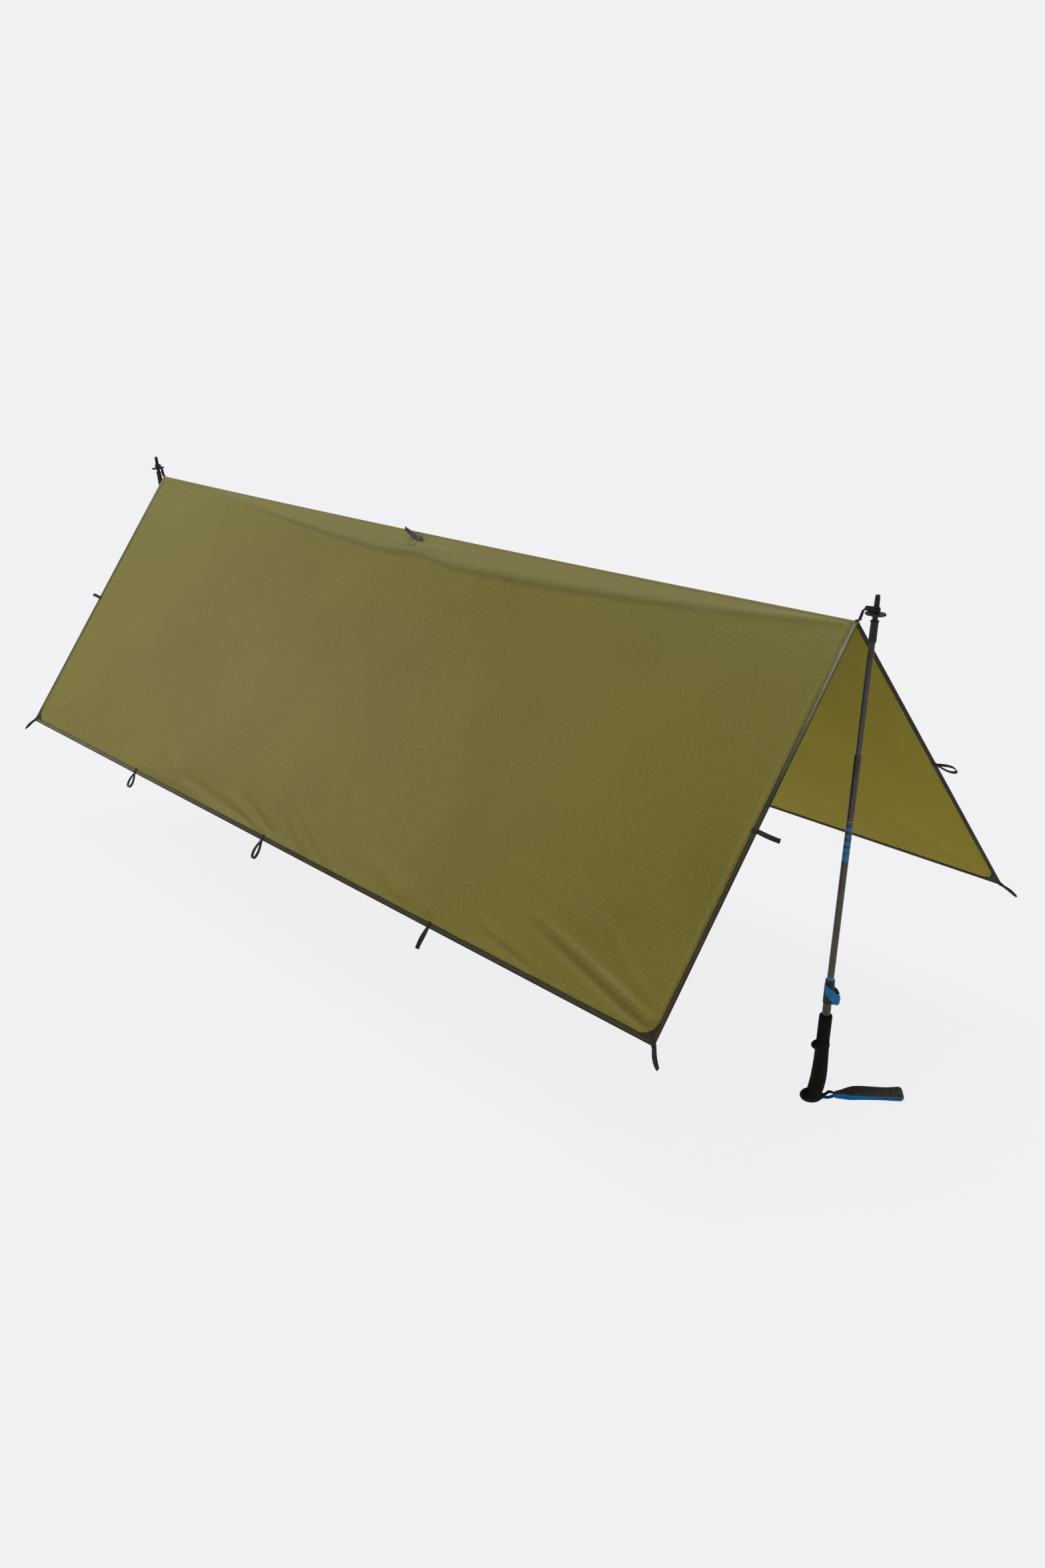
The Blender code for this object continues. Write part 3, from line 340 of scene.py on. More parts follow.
def grid_mesh(points, across, along, closed=False, caps=False, slots=None):
    """A mesh from rows of points. closed joins each row's end to its start; caps closes both ends.

    across and along are the UV lengths in metres, with one value more across where rows are closed.
    """
    points = np.asarray(points, float)
    rows, columns = points.shape[:2]
    bm = bmesh.new()
    verts = [[bm.verts.new(p) for p in row] for row in points]
    uv = bm.loops.layers.uv.new("UVMap")
    for i in range(rows - 1):
        for j in range(columns if closed else columns - 1):
            k = (j + 1) % columns
            face = bm.faces.new((verts[i][j], verts[i][k], verts[i + 1][k], verts[i + 1][j]))
            face.material_index = 0 if slots is None else slots[i]
            for loop, (a, b) in zip(face.loops, ((i, j), (i, j + 1), (i + 1, j + 1), (i + 1, j))):
                loop[uv].uv = (along[a], across[b])
    if caps:
        for row in (verts[0][::-1], verts[-1]):
            bm.faces.new(row)
    bmesh.ops.recalc_face_normals(bm, faces=bm.faces)
    return mesh_of(bm, "grid")


def mend(mesh, distance):
    """Merges doubled points and turns every face outwards."""
    bm = bmesh.new()
    bm.from_mesh(mesh)
    bmesh.ops.remove_doubles(bm, verts=bm.verts, dist=distance)
    bmesh.ops.recalc_face_normals(bm, faces=bm.faces)
    bm.to_mesh(mesh)
    bm.free()


def face_out(mesh, side, number, face=1):
    """Turns a sheet over unless one of its faces looks away from the slope's outside, or inside for -1."""
    if mesh.polygons[number].normal.dot(Vector((0, -side * DROP, RUN))) * face < 0:
        mesh.flip_normals()


def paint_sheen(mesh, value):
    """Stores how much painted sheen a piece gets, as a share that the cloth and tape materials read."""
    stored = mesh.attributes.new("painted_sheen", "FLOAT", "POINT")
    stored.data.foreach_set("value", np.full(len(mesh.vertices), value) if np.isscalar(value) else np.ravel(value))


def applied(obj):
    """The object's mesh with its modifiers in it; the modifiers go."""
    bpy.context.view_layer.update()
    graph = bpy.context.evaluated_depsgraph_get()
    mesh = bpy.data.meshes.new_from_object(obj.evaluated_get(graph))
    obj.modifiers.clear()
    obj.data = mesh
    return obj


def thickened(made, thickness, offset=-1.0, inner=0):
    """Gives a sheet its thickness; inner is how many materials further the one on its inside is."""
    wall = made.modifiers.new("thickness", "SOLIDIFY")
    wall.thickness = thickness
    wall.offset = offset
    wall.material_offset = inner
    return applied(made)


def settle(piece, node, body=None):
    """Hides the solid of the frame that a piece stands for, if any, and puts the piece on the body that it rides on.
    """
    if node:
        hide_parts(node)
    if body:
        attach(piece, body)
    return piece


def triangles(obj):
    return sum(len(p.vertices) - 2 for p in obj.data.polygons)


def unit(rows):
    return rows / np.linalg.norm(rows, axis=-1, keepdims=True)


# %% [markdown]
# ## Coated ripstop nylon
# Ripstop is a plain weave with a thicker thread every few millimetres both ways, which stops a tear.
# The coating fills it, so it is satin rather than fluffy, and light that falls on one side glows a
# little on the other: the inside of a tarp looks yellower than its outside. The squares are 2.6 mm
# here, and the weave in them, 0.8 mm, is coarser than a real one so that it shows.

# %% Cloth material
def set_look(look, **values):
    """Sets or joins inputs of a material's Principled shader, by socket name."""
    inputs = {key.replace("_", " "): value for key, value in values.items()}
    give(look.node_tree, look.node_tree.nodes["Principled BSDF"], inputs)
    return look


def new_look(name, **values):
    """A material with some plain values, and its tree."""
    look = bpy.data.materials.new(name)
    look.use_nodes = True
    return set_look(look, **values), look.node_tree


# Sockets of a Mix node that blends two colours: its factor, both colours and the result.
SHARE, FIRST, SECOND, MIXED = 0, 6, 7, 2


def thread_wave(tree, source, pitch, axis, sharpness=1.0):
    """A row of threads across one axis of a coordinate in metres, pitch apart, as a value 0 to 1."""
    place = add_node(tree, "ShaderNodeSeparateXYZ", {0: source}).outputs[axis]
    turns = add_node(tree, "ShaderNodeMath", {0: place, 1: 2 * math.pi / pitch}, operation="MULTIPLY").outputs[0]
    wave = add_node(tree, "ShaderNodeMath", {0: turns}, operation="COSINE").outputs[0]
    half = add_node(tree, "ShaderNodeMath", {0: wave, 1: 0.5, 2: 0.5}, operation="MULTIPLY_ADD").outputs[0]
    return add_node(tree, "ShaderNodeMath", {0: half, 1: sharpness}, operation="POWER").outputs[0]


def crossed_threads(tree, source, pitches, sharpness=1.0):
    """Threads both ways, as a value that is highest where they cross."""
    rows = {i: thread_wave(tree, source, pitch, "XY"[i], sharpness) for i, pitch in enumerate(pitches)}
    return add_node(tree, "ShaderNodeMath", rows, operation="MULTIPLY").outputs[0]


def ripstop_look(name, light, dark, bright, painted_sheen, roughness, gloss):
    look, tree = new_look(
        name, Roughness=roughness, IOR=1.45, Specular_IOR_Level=gloss, Sheen_Weight=gloss * 0.5,
        Sheen_Roughness=0.5, Sheen_Tint=srgb("#c2c98f"),
    )
    uv = add_node(tree, "ShaderNodeUVMap", uv_map="UVMap").outputs[0]
    grid = crossed_threads(tree, uv, (0.0026, 0.0026), 1.5)
    weave = crossed_threads(tree, uv, (0.0008, 0.0008))
    wide = {"Vector": uv, "Scale": 2.2, "Detail": 3.0, "Roughness": 0.55}
    cloudy = {"Value": add_node(tree, "ShaderNodeTexNoise", wide).outputs["Fac"], "From Min": 0.3, "From Max": 0.7}
    patches = add_node(tree, "ShaderNodeMapRange", cloudy).outputs[0]
    dyed = {SHARE: patches, FIRST: srgb(dark), SECOND: srgb(light)}
    # Painted sheen: a stored share per point mixes in a paler, greyer colour for reflected light.
    sheened = {
        SHARE: add_node(tree, "ShaderNodeAttribute", attribute_name="painted_sheen").outputs["Fac"],
        FIRST: add_node(tree, "ShaderNodeMix", dyed, data_type="RGBA").outputs[MIXED], SECOND: srgb(painted_sheen),
    }
    base = add_node(tree, "ShaderNodeMix", sheened, data_type="RGBA").outputs[MIXED]
    speck = add_node(tree, "ShaderNodeTexNoise", {"Vector": uv, "Scale": 160.0, "Detail": 2.0}).outputs["Fac"]
    flecks = add_node(tree, "ShaderNodeMapRange", {"Value": speck, "To Min": -0.35, "To Max": 0.35}).outputs[0]
    paler = {0: grid, 1: 1.15, 2: flecks}
    paler = add_node(tree, "ShaderNodeMath", paler, operation="MULTIPLY_ADD", use_clamp=True).outputs[0]
    colour = {SHARE: paler, FIRST: base, SECOND: srgb(bright)}
    colour = add_node(tree, "ShaderNodeMix", colour, data_type="RGBA").outputs[MIXED]
    height = add_node(tree, "ShaderNodeMath", {0: weave, 1: 0.35, 2: grid}, operation="MULTIPLY_ADD").outputs[0]
    threads = add_node(tree, "ShaderNodeBump", {"Height": height, "Strength": 0.25, "Distance": 0.00012}).outputs[0]
    soft = {"Vector": uv, "Scale": 28.0, "Detail": 4.0, "Roughness": 0.6}
    soft = add_node(tree, "ShaderNodeTexNoise", soft).outputs["Fac"]
    crumple = {"Height": soft, "Strength": 0.30, "Distance": 0.0016, "Normal": threads}
    return set_look(look, Base_Color=colour, Normal=add_node(tree, "ShaderNodeBump", crumple).outputs[0])


# The fourth colour of each cloth is its painted sheen, for light reflected off the roll by the ridge and off the ends.
CLOTH_OUTSIDE = ripstop_look("coated_ripstop_outside", "#655b14", "#5a500d", "#8e8338", "#6a6639", 0.50, 0.20)
CLOTH_INSIDE = ripstop_look("coated_ripstop_inside", "#80740d", "#746808", "#9e9022", "#80740d", 0.62, 0.10)
print("cloth:", CLOTH_OUTSIDE.name, "and", CLOTH_INSIDE.name)

# %% [markdown]
# ## The two slopes
# Each slope is one sheet. A grid of about 9 mm by 6 mm follows the folds, and a Solidify modifier
# gives the cloth its thickness and puts the second material on its inner face.

# %% Slopes of cloth
CLOTH_THICKNESS = 0.0005
CLOTH_TOP = 0.0012  # the sheets start beside the ridge seam
CLOTH_INSET = 0.0009  # and end just inside the fold of the binding


def make_slope(name, side, columns=330, rows=148):
    even, step = np.linspace(-1, 1, columns), np.linspace(-1, 1, rows)
    x = (HALF - CLOTH_INSET) * (1.2 * even - 0.2 * even**5)  # closer together by the edges
    down = CLOTH_TOP + (SLOPE - CLOTH_INSET - CLOTH_TOP) * (1 + 1.15 * step - 0.15 * step**5) / 2
    grid_x, grid_down = np.meshgrid(x, down)
    mesh = grid_mesh(cloth_point(side, grid_x, grid_down), x + HALF, down)
    paint_sheen(mesh, painted_sheen_share(grid_x, grid_down))
    face_out(mesh, side, len(mesh.polygons) // 2)
    return thickened(finish_mesh(name, mesh, [CLOTH_OUTSIDE, CLOTH_INSIDE]), CLOTH_THICKNESS, 0.0, inner=1)


def hinge_at_ridge(obj):
    """Bakes a piece's placement into its mesh."""
    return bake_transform(obj)


for side_name, side in SIDES.items():
    slope = settle(make_slope(side_name + "_slope_cloth", side), side_name + "_panel")
    hinge_at_ridge(slope)
    print(slope.name, triangles(slope), "triangles")

# %% [markdown]
# ## Paths, and trees of nodes that follow them
# Webbing, tape and stitches all follow a path. A path is kept here as a mesh of edges, where each
# point also stores which way it faces. A Geometry Nodes tree turns the edges into a curve, and either
# sweeps a flat section along it or sets small copies on it. The result becomes a plain mesh.

# %% Paths and trees
def path_object(name, chains, facings):
    """Edges only: one chain of points after another, with the way that each point faces."""
    mesh = bpy.data.meshes.new(name)
    points, edges, ways = [], [], []
    for chain, facing in zip(chains, facings):
        first = len(points)
        chain = np.asarray(chain, float)
        points += chain.tolist()
        edges += [(i, i + 1) for i in range(first, len(points) - 1)]
        ways += np.broadcast_to(np.asarray(facing, float), chain.shape).tolist()
    mesh.from_pydata(points, edges, [])
    mesh.attributes.new("facing", "FLOAT_VECTOR", "POINT").data.foreach_set("vector", np.ravel(ways))
    return placed(name, mesh)


def new_tree(name, sizes):
    """An empty tree with a path, some sizes and a material as its inputs."""
    tree = bpy.data.node_groups.new(name, "GeometryNodeTree")
    tree.interface.new_socket("Path", in_out="INPUT", socket_type="NodeSocketGeometry")
    for label, value in sizes.items():
        socket = tree.interface.new_socket(label, in_out="INPUT", socket_type="NodeSocketFloat")
        socket.default_value = value
    tree.interface.new_socket("Material", in_out="INPUT", socket_type="NodeSocketMaterial")
    tree.interface.new_socket("Mesh", in_out="OUTPUT", socket_type="NodeSocketGeometry")
    return tree, add_node(tree, "NodeGroupInput").outputs


def end_tree(tree, given, geometry):
    """Real copies with their material, and the tree's end."""
    real = add_node(tree, "GeometryNodeRealizeInstances", {0: geometry}).outputs[0]
    painted = add_node(tree, "GeometryNodeSetMaterial", {"Geometry": real, "Material": given["Material"]})
    add_node(tree, "NodeGroupOutput", {"Mesh": painted.outputs[0]})
    return tree


def run_tree(obj, tree, look, **sizes):
    """Runs a tree on a path and keeps the result as the object's plain mesh."""
    step = obj.modifiers.new(tree.name, "NODES")
    step.node_group = tree
    for item in tree.interface.items_tree:
        if item.in_out == "INPUT" and item.name in sizes:
            step[item.identifier] = sizes[item.name]
        elif item.in_out == "INPUT" and item.name == "Material":
            step[item.identifier] = look
    applied(obj)
    for extra in ("facing", "along", "across"):
        if extra in obj.data.attributes:
            obj.data.attributes.remove(obj.data.attributes[extra])
    shade(obj.data)
    return obj


# %% [markdown]
# ## Woven webbing
# The loops are 10 mm polyamide webbing, a thick flat weave with ribs across it and no shine. The
# tree sweeps a flat rounded section along the path, with its flat side turned the way the path
# faces, and stores the lengths along and across as a UV map, so that the ribs follow every twist.

# %% Webbing tree
WEBBING_WIDTH, WEBBING_THICKNESS = 0.010, 0.0012


def build_webbing_tree():
    tree, given = new_tree("webbing_along_path", {"Width": WEBBING_WIDTH, "Thickness": WEBBING_THICKNESS})
    curve = add_node(tree, "GeometryNodeMeshToCurve", {0: given["Path"]}).outputs[0]
    stored = add_node(tree, "GeometryNodeInputNamedAttribute", {"Name": "facing"}, data_type="FLOAT_VECTOR")
    facing = {"Curve": curve, "Normal": stored.outputs["Attribute"]}
    turned_curve = add_node(tree, "GeometryNodeSetCurveNormal", facing, mode="FREE").outputs[0]
    run = add_node(tree, "GeometryNodeSplineParameter").outputs["Length"]
    flat = {"Width": given["Thickness"], "Height": given["Width"]}
    section = add_node(tree, "GeometryNodeCurvePrimitiveQuadrilateral", flat).outputs[0]
    radius = add_node(tree, "ShaderNodeMath", {0: given["Thickness"], 1: 0.42}, operation="MULTIPLY").outputs[0]
    corner = {"Curve": section, "Radius": radius, "Count": 3}
    rounded = add_node(tree, "GeometryNodeFilletCurve", corner, mode="POLY").outputs[0]
    split = add_node(tree, "ShaderNodeSeparateXYZ", {0: add_node(tree, "GeometryNodeInputPosition").outputs[0]})
    kept, lengths = {}, {}
    for name, curve, value in (("along", turned_curve, run), ("across", rounded, split.outputs["Y"])):
        stored = {"Geometry": curve, "Name": name, "Value": value}
        kept[name] = add_node(tree, "GeometryNodeStoreNamedAttribute", stored, data_type="FLOAT").outputs[0]
        read = add_node(tree, "GeometryNodeInputNamedAttribute", {"Name": name}, data_type="FLOAT")
        lengths["XY"[len(lengths)]] = read.outputs["Attribute"]
    sweep = {"Curve": kept["along"], "Profile Curve": kept["across"], "Fill Caps": True}
    swept = add_node(tree, "GeometryNodeCurveToMesh", sweep).outputs[0]
    uv = add_node(tree, "ShaderNodeCombineXYZ", lengths).outputs[0]
    flat_map = {"Geometry": swept, "Name": "UVMap", "Value": uv}
    mapped = add_node(tree, "GeometryNodeStoreNamedAttribute", flat_map, data_type="FLOAT2", domain="CORNER")
    return end_tree(tree, given, mapped.outputs[0])


WEBBING_TREE = build_webbing_tree()
print("webbing tree:", len(WEBBING_TREE.nodes), "nodes")


def woven_look(name, base, pale):
    """Ribbed weave in a UV map in metres: ribs across the tape, columns along it."""
    look, tree = new_look(name, Roughness=0.82, Specular_IOR_Level=0.25)
    uv = add_node(tree, "ShaderNodeUVMap", uv_map="UVMap").outputs[0]
    weave = crossed_threads(tree, uv, (0.0012, 0.0016), 0.8)
    fuzz = add_node(tree, "ShaderNodeTexNoise", {"Vector": uv, "Scale": 420.0, "Detail": 3.0}).outputs["Fac"]
    tone = add_node(tree, "ShaderNodeMath", {0: weave, 1: 0.45, 2: fuzz}, operation="MULTIPLY_ADD").outputs[0]
    crowns = {"Value": tone, "From Min": 0.35, "From Max": 1.0, "To Min": 0.0, "To Max": 0.75}
    colour = {SHARE: add_node(tree, "ShaderNodeMapRange", crowns).outputs[0], FIRST: srgb(base), SECOND: srgb(pale)}
    colour = add_node(tree, "ShaderNodeMix", colour, data_type="RGBA").outputs[MIXED]
    ribs = add_node(tree, "ShaderNodeBump", {"Height": weave, "Strength": 0.5, "Distance": 0.0003}).outputs[0]
    return set_look(look, Base_Color=colour, Normal=ribs)


# Woven polyamide webbing, dyed near black: matt, a little paler on the crowns of its ribs. The only
# loop that lies on top of the ridge, facing up, is painted lighter grey for the light that falls on it.
WEBBING_LOOK = woven_look("woven_webbing", "#141214", "#322f33")
LIT_WEBBING = woven_look("woven_webbing_painted_lit", "#37343b", "#66616b")


def webbing(name, chains, facings, look=WEBBING_LOOK, width=WEBBING_WIDTH, thickness=WEBBING_THICKNESS):
    return run_tree(path_object(name, chains, facings), WEBBING_TREE, look, Width=width, Thickness=thickness)


# %% [markdown]
# ## Stitches
# Every tape is sewn down with a row of straight stitches, about 3 mm long and half a millimetre
# thick, of dark thread. A tree spaces them along a path and turns each one along it. They are
# drawn a third thicker than real thread so that they show. Each is a sphere of 20 faces, stretched.

# %% Stitch tree
def build_stitch_tree():
    tree, given = new_tree("stitches_along_path", {"Spacing": 0.0042, "Length": 0.0031, "Thread": 0.0007})
    curve = add_node(tree, "GeometryNodeMeshToCurve", {0: given["Path"]}).outputs[0]
    spacing = {"Curve": curve, "Length": given["Spacing"]}
    spaced = add_node(tree, "GeometryNodeResampleCurve", spacing, mode="LENGTH").outputs[0]
    ahead = add_node(tree, "GeometryNodeInputTangent").outputs[0]
    lying = add_node(tree, "FunctionNodeAlignRotationToVector", {"Vector": ahead}, axis="X").outputs[0]
    stored = add_node(tree, "GeometryNodeInputNamedAttribute", {"Name": "facing"}, data_type="FLOAT_VECTOR")
    facing = {"Rotation": lying, "Vector": stored.outputs["Attribute"]}
    upright = add_node(tree, "FunctionNodeAlignRotationToVector", facing, axis="Z", pivot_axis="X").outputs[0]
    bead = add_node(tree, "GeometryNodeMeshIcoSphere", {"Radius": 0.5, "Subdivisions": 1}).outputs[0]
    sizes = {"X": given["Length"], "Y": given["Thread"], "Z": given["Thread"]}
    size = add_node(tree, "ShaderNodeCombineXYZ", sizes).outputs[0]
    copies = {"Points": spaced, "Instance": bead, "Rotation": upright, "Scale": size}
    return end_tree(tree, given, add_node(tree, "GeometryNodeInstanceOnPoints", copies).outputs[0])


STITCH_TREE = build_stitch_tree()
print("stitch tree:", len(STITCH_TREE.nodes), "nodes")


def thread_look(name, base, pale):
    """Spun polyester thread: matt, with a fine twist along it."""
    look, tree = new_look(name, Roughness=0.75, Specular_IOR_Level=0.3)
    spot = add_node(tree, "ShaderNodeTexCoord").outputs["Object"]
    twist = add_node(tree, "ShaderNodeTexNoise", {"Vector": spot, "Scale": 900.0, "Detail": 2.0}).outputs["Fac"]
    colour = {SHARE: twist, FIRST: srgb(base), SECOND: srgb(pale)}
    colour = add_node(tree, "ShaderNodeMix", colour, data_type="RGBA").outputs[MIXED]
    twisted = add_node(tree, "ShaderNodeBump", {"Height": twist, "Strength": 0.4, "Distance": 0.0002}).outputs[0]
    return set_look(look, Base_Color=colour, Normal=twisted)


THREAD_LOOK = thread_look("sewing_thread", "#1f1c10", "#4a4529")


def stitches(name, chains, facings, **sizes):
    return run_tree(path_object(name, chains, facings), STITCH_TREE, THREAD_LOOK, **sizes)


# %% [markdown]
# ## Edge binding
# A grosgrain tape is folded over the raw edge and sewn through. It runs down one sloping side, along
# the hem and up the other, and is mitred at the corners. Its section is a flat U round the cloth.
# A tape that was pulled through a binder is never quite straight, so its inner edge wanders slightly.

# %% Binding
TAPE_START = 0.006
TAPE_FACE = 0.00112  # height of the tape's face off the middle of the cloth
OUTER_FACE = [  # inward from the folded edge, and height
    (0.0130, 0.00030), (0.0130, 0.00080), (0.0127, 0.00095), (0.0095, 0.00108), (0.0055, TAPE_FACE),
    (0.0020, 0.00102), (0.0005, 0.00075),
]
SECTION = [*OUTER_FACE, (0.0, 0.0), *((q, -height) for q, height in reversed(OUTER_FACE))]
SECTION_LENGTH = 0.0275  # along both faces of the tape
STITCH_INSET = 0.0105  # from the folded edge


def binding_rows(per_metre=110):
    """Stations round the three bound sides, as functions of the distance in from the edge."""
    def on_side(end, share):
        return lambda q: (end * (HALF - q), TAPE_START + share * (SLOPE - q - TAPE_START))

    def on_hem(share):
        return lambda q: ((HALF - q) * (1 - 2 * share), SLOPE - q)

    side_count, hem_count = int(SLOPE * per_metre), int(2 * HALF * per_metre)
    rows = [on_side(1, i / side_count) for i in range(side_count + 1)]
    rows += [on_hem(i / hem_count) for i in range(1, hem_count + 1)]
    return rows + [on_side(-1, 1 - i / side_count) for i in range(1, side_count + 1)]


def wander(length):
    """How much a tape strays as it runs, in metres."""
    return 0.00022 * math.sin(length * 31.0) + 0.00012 * math.sin(length * 74.0 + 1.0)


def make_binding(name, side, looks):
    points, painted_sheen, run, before = [], [], [], None
    for row in binding_rows():
        here = row(0.0)
        run.append(run[-1] + math.dist(here, before) if run else 0.0)
        before = here
        ripple = 0.00022 * math.sin(run[-1] * 190.0 + 2.5 * math.sin(run[-1] * 23.0))
        line = []
        for q, height in SECTION:
            place = row(q + (wander(run[-1]) if q > 0.012 else 0.0))
            line.append(hung(side, *place, height + (ripple * np.sign(height) if q > 0.004 else 0.0)))
        points.append(line)
        # Painted sheen: the front tape's outer face is paler near the ridge and towards the far end; the back tape and
        # the inner faces get none.
        sheen_amount = max(1 - smooth(here[1] / 0.42), 0.45 * smooth((0.2 - here[0]) / 1.4))
        painted_sheen.append([sheen_amount if height > 0 and side > 0 else 0.0 for _, height in SECTION])
    lengths = np.cumsum([0.0] + [math.dist(a, b) for a, b in zip(SECTION, SECTION[1:] + SECTION[:1])])
    mesh = grid_mesh(points, lengths, run, closed=True, caps=True)
    paint_sheen(mesh, painted_sheen)
    return finish_mesh(name, mesh, looks)


# From about 0.5 on, the ramp covers the inner face, which is painted darker for the shade under the tarp.
TAPE_BANDS = (  # place across the tape's two faces, and how pale it is there
    (0.0, 0.0), (0.05, 0.05), (0.09, 0.8), (0.13, 0.05), (0.17, 1.0), (0.34, 0.85), (0.44, 0.1),
    (0.54, 0.1), (0.64, 0.3), (0.88, 0.3), (0.95, 0.0),
)


def tape_look(name, dark, light, pale):
    """Grosgrain tape, dyed olive brown: fine ribs across it, darker along its sewn edges, with a pale painted sheen
    mixed in.
    """
    look, tree = new_look(name, Roughness=0.75, Specular_IOR_Level=0.2)
    uv = add_node(tree, "ShaderNodeUVMap", uv_map="UVMap").outputs[0]
    across = add_node(tree, "ShaderNodeSeparateXYZ", {0: uv}).outputs["Y"]
    place = add_node(tree, "ShaderNodeMath", {0: across, 1: SECTION_LENGTH}, operation="DIVIDE").outputs[0]
    ramp = add_node(tree, "ShaderNodeValToRGB", {0: place})
    while len(ramp.color_ramp.elements) < len(TAPE_BANDS):
        ramp.color_ramp.elements.new(0.5)
    for element, (at, value) in zip(ramp.color_ramp.elements, TAPE_BANDS):
        element.position = at
        element.color = (value, value, value, 1.0)
    banded = {0: ramp.outputs["Color"], 1: 0.62, 2: -0.12}
    banded = add_node(tree, "ShaderNodeMath", banded, operation="MULTIPLY_ADD").outputs[0]
    uneven = add_node(tree, "ShaderNodeTexNoise", {"Vector": uv, "Scale": 26.0, "Detail": 3.0}).outputs["Fac"]
    varied = {0: uneven, 1: 0.75, 2: banded}
    varied = add_node(tree, "ShaderNodeMath", varied, operation="MULTIPLY_ADD", use_clamp=True).outputs[0]
    sheen_amount = {0: add_node(tree, "ShaderNodeAttribute", attribute_name="painted_sheen").outputs["Fac"], 1: varied}
    sheen_amount = add_node(tree, "ShaderNodeMath", sheen_amount, operation="MULTIPLY", use_clamp=True).outputs[0]
    dyed = {SHARE: varied, FIRST: srgb(dark), SECOND: srgb(light)}
    dyed = add_node(tree, "ShaderNodeMix", dyed, data_type="RGBA").outputs[MIXED]
    colour = {SHARE: sheen_amount, FIRST: dyed, SECOND: srgb(pale)}
    colour = add_node(tree, "ShaderNodeMix", colour, data_type="RGBA").outputs[MIXED]
    ribs = {"Height": thread_wave(tree, uv, 0.0014, "X"), "Strength": 0.45, "Distance": 0.00025}
    return set_look(look, Base_Color=colour, Normal=add_node(tree, "ShaderNodeBump", ribs).outputs[0])


# The third colour is the tape's painted sheen, a pale grey for reflected light.
TAPE_LOOK = tape_look("grosgrain_tape", "#110e05", "#3c3722", "#8d8a6a")

for side_name, side in SIDES.items():
    outward = np.array((0, -side * DROP, RUN))
    binding = make_binding(side_name + "_edge_tape", side, [TAPE_LOOK])
    settle(binding, side_name + "_binding")
    hinge_at_ridge(binding)
    x, down = np.array([row(STITCH_INSET) for row in binding_rows(40)]).T
    chains = [hung(side, x, down, face * TAPE_FACE) for face in (1, -1)]
    rows = settle(stitches(side_name + "_edge_stitches", chains, [outward, -outward]), None)
    hinge_at_ridge(rows)
    print(binding.name, triangles(binding), "triangles;", rows.name, triangles(rows))

# %% [markdown]
# ## Ridge seam
# The two slopes are joined by a felled seam: both edges are folded into one another and sewn twice,
# which leaves a soft, slightly flattened ridge of four layers. It hangs a few millimetres in the
# middle, with the cloth. Its section is a rounded roof shape, swept from end to end.

# %% Ridge seam
ROOF = [  # one half of the section: sideways and up, over the top and back below
    (0.0, 0.0014), (0.0014, 0.0006), (0.0030, -0.0016), (0.0046, -0.0040), (0.0034, -0.0041),
    (0.0016, -0.0016), (0.0, -0.0006),
]
SEAM_SECTION = [(-y, z) for y, z in ROOF[3:0:-1]] + ROOF + [(-y, z) for y, z in ROOF[5:3:-1]]


def make_ridge_seam():
    x = np.linspace(-HALF, HALF, 260)
    rows = []
    for place in x:
        squeeze = 1 + 0.07 * math.sin(place * 210) + 0.05 * math.sin(place * 97 + 1)
        rows.append([(place, y * squeeze, RIDGE_Z + z - float(ridge_sag(place))) for y, z in SEAM_SECTION])
    across = np.cumsum([0.0] + [0.0028] * len(SEAM_SECTION))
    seam = finish_mesh("ridge_seam_fell", grid_mesh(rows, across, x + HALF, closed=True, caps=True), [CLOTH_OUTSIDE])
    # The seam is painted almost wholly with the cloth's paler sheen colour, for the light that its top reflects.
    paint_sheen(seam.data, 0.95)
    return settle(seam, "ridge_seam", "ridge")


print("ridge seam", triangles(make_ridge_seam()), "triangles")

# %% [markdown]
# ## Corner patches
# Each corner is reinforced by a second piece of cloth with a hollow inner edge, tucked under the
# binding. The hollow edge is rolled, so it shows as a soft cord-like line. It is a fan of rows from
# that edge to the corner, a little above the cloth, with its edge turned down.

# %% Corner patches
PATCH_LEG = 0.046
PATCH_INSET = EDGE_TAPE - 0.004  # it reaches 4 mm under the binding
PATCH_HEIGHTS = (0.0004, 0.0013, 0.0019, 0.0018, 0.0014)  # of the first rows, from the hollow edge
PATCH_LOOK = tape_look("reinforcement_cloth", "#120f05", "#3a3419", "#6a6639")


def make_corner_patch(name, side, end, steps=26, rows=12):
    """A four-sided fan between the hollow edge and the corner; end is 1 at the near end."""
    share, t = np.linspace(0, 1, rows + 1)[:, None], np.linspace(0, 1, steps + 1)
    lift = np.interp(share * rows, range(5), PATCH_HEIGHTS) + 0.0003 * np.sin(share * 9)
    leg = PATCH_LEG * (1 - 0.30 * np.sin(math.pi * t)) * (1 - share)
    x, down = end * (HALF - PATCH_INSET - leg * (1 - t)), SLOPE - PATCH_INSET - leg * t
    bm = bmesh.new()
    for face in (1, -1):
        skin = on_slope(side, x, down, face * lift)
        mesh = grid_mesh(skin, np.linspace(0, SECTION_LENGTH, steps + 1), np.linspace(0, 0.04, rows + 1))
        face_out(mesh, side, steps * 3, face)
        bm.from_mesh(mesh)
    return thickened(finish_mesh(name, mesh_of(bm, name), [PATCH_LOOK]), 0.0006)


for side_name, side in SIDES.items():
    for end_name, end in (("near", 1), ("far", -1)):
        corner = f"{side_name}_{end_name}"
        patch = make_corner_patch(corner + "_patch", side, end * side)
        settle(patch, corner + "_corner_patch", side_name + "_slope")
        print(patch.name, triangles(patch), "triangles")

# %% [markdown]
# ## Tie-out loops
# Fourteen loops of webbing stand out from the edges for guy lines. Each is one strip: it is sewn flat
# across the binding on both faces and leaves the edge as a loop. No two hang alike, because each was
# packed differently, so every loop has its own opening, twist and droop. A loop turns at the edge.

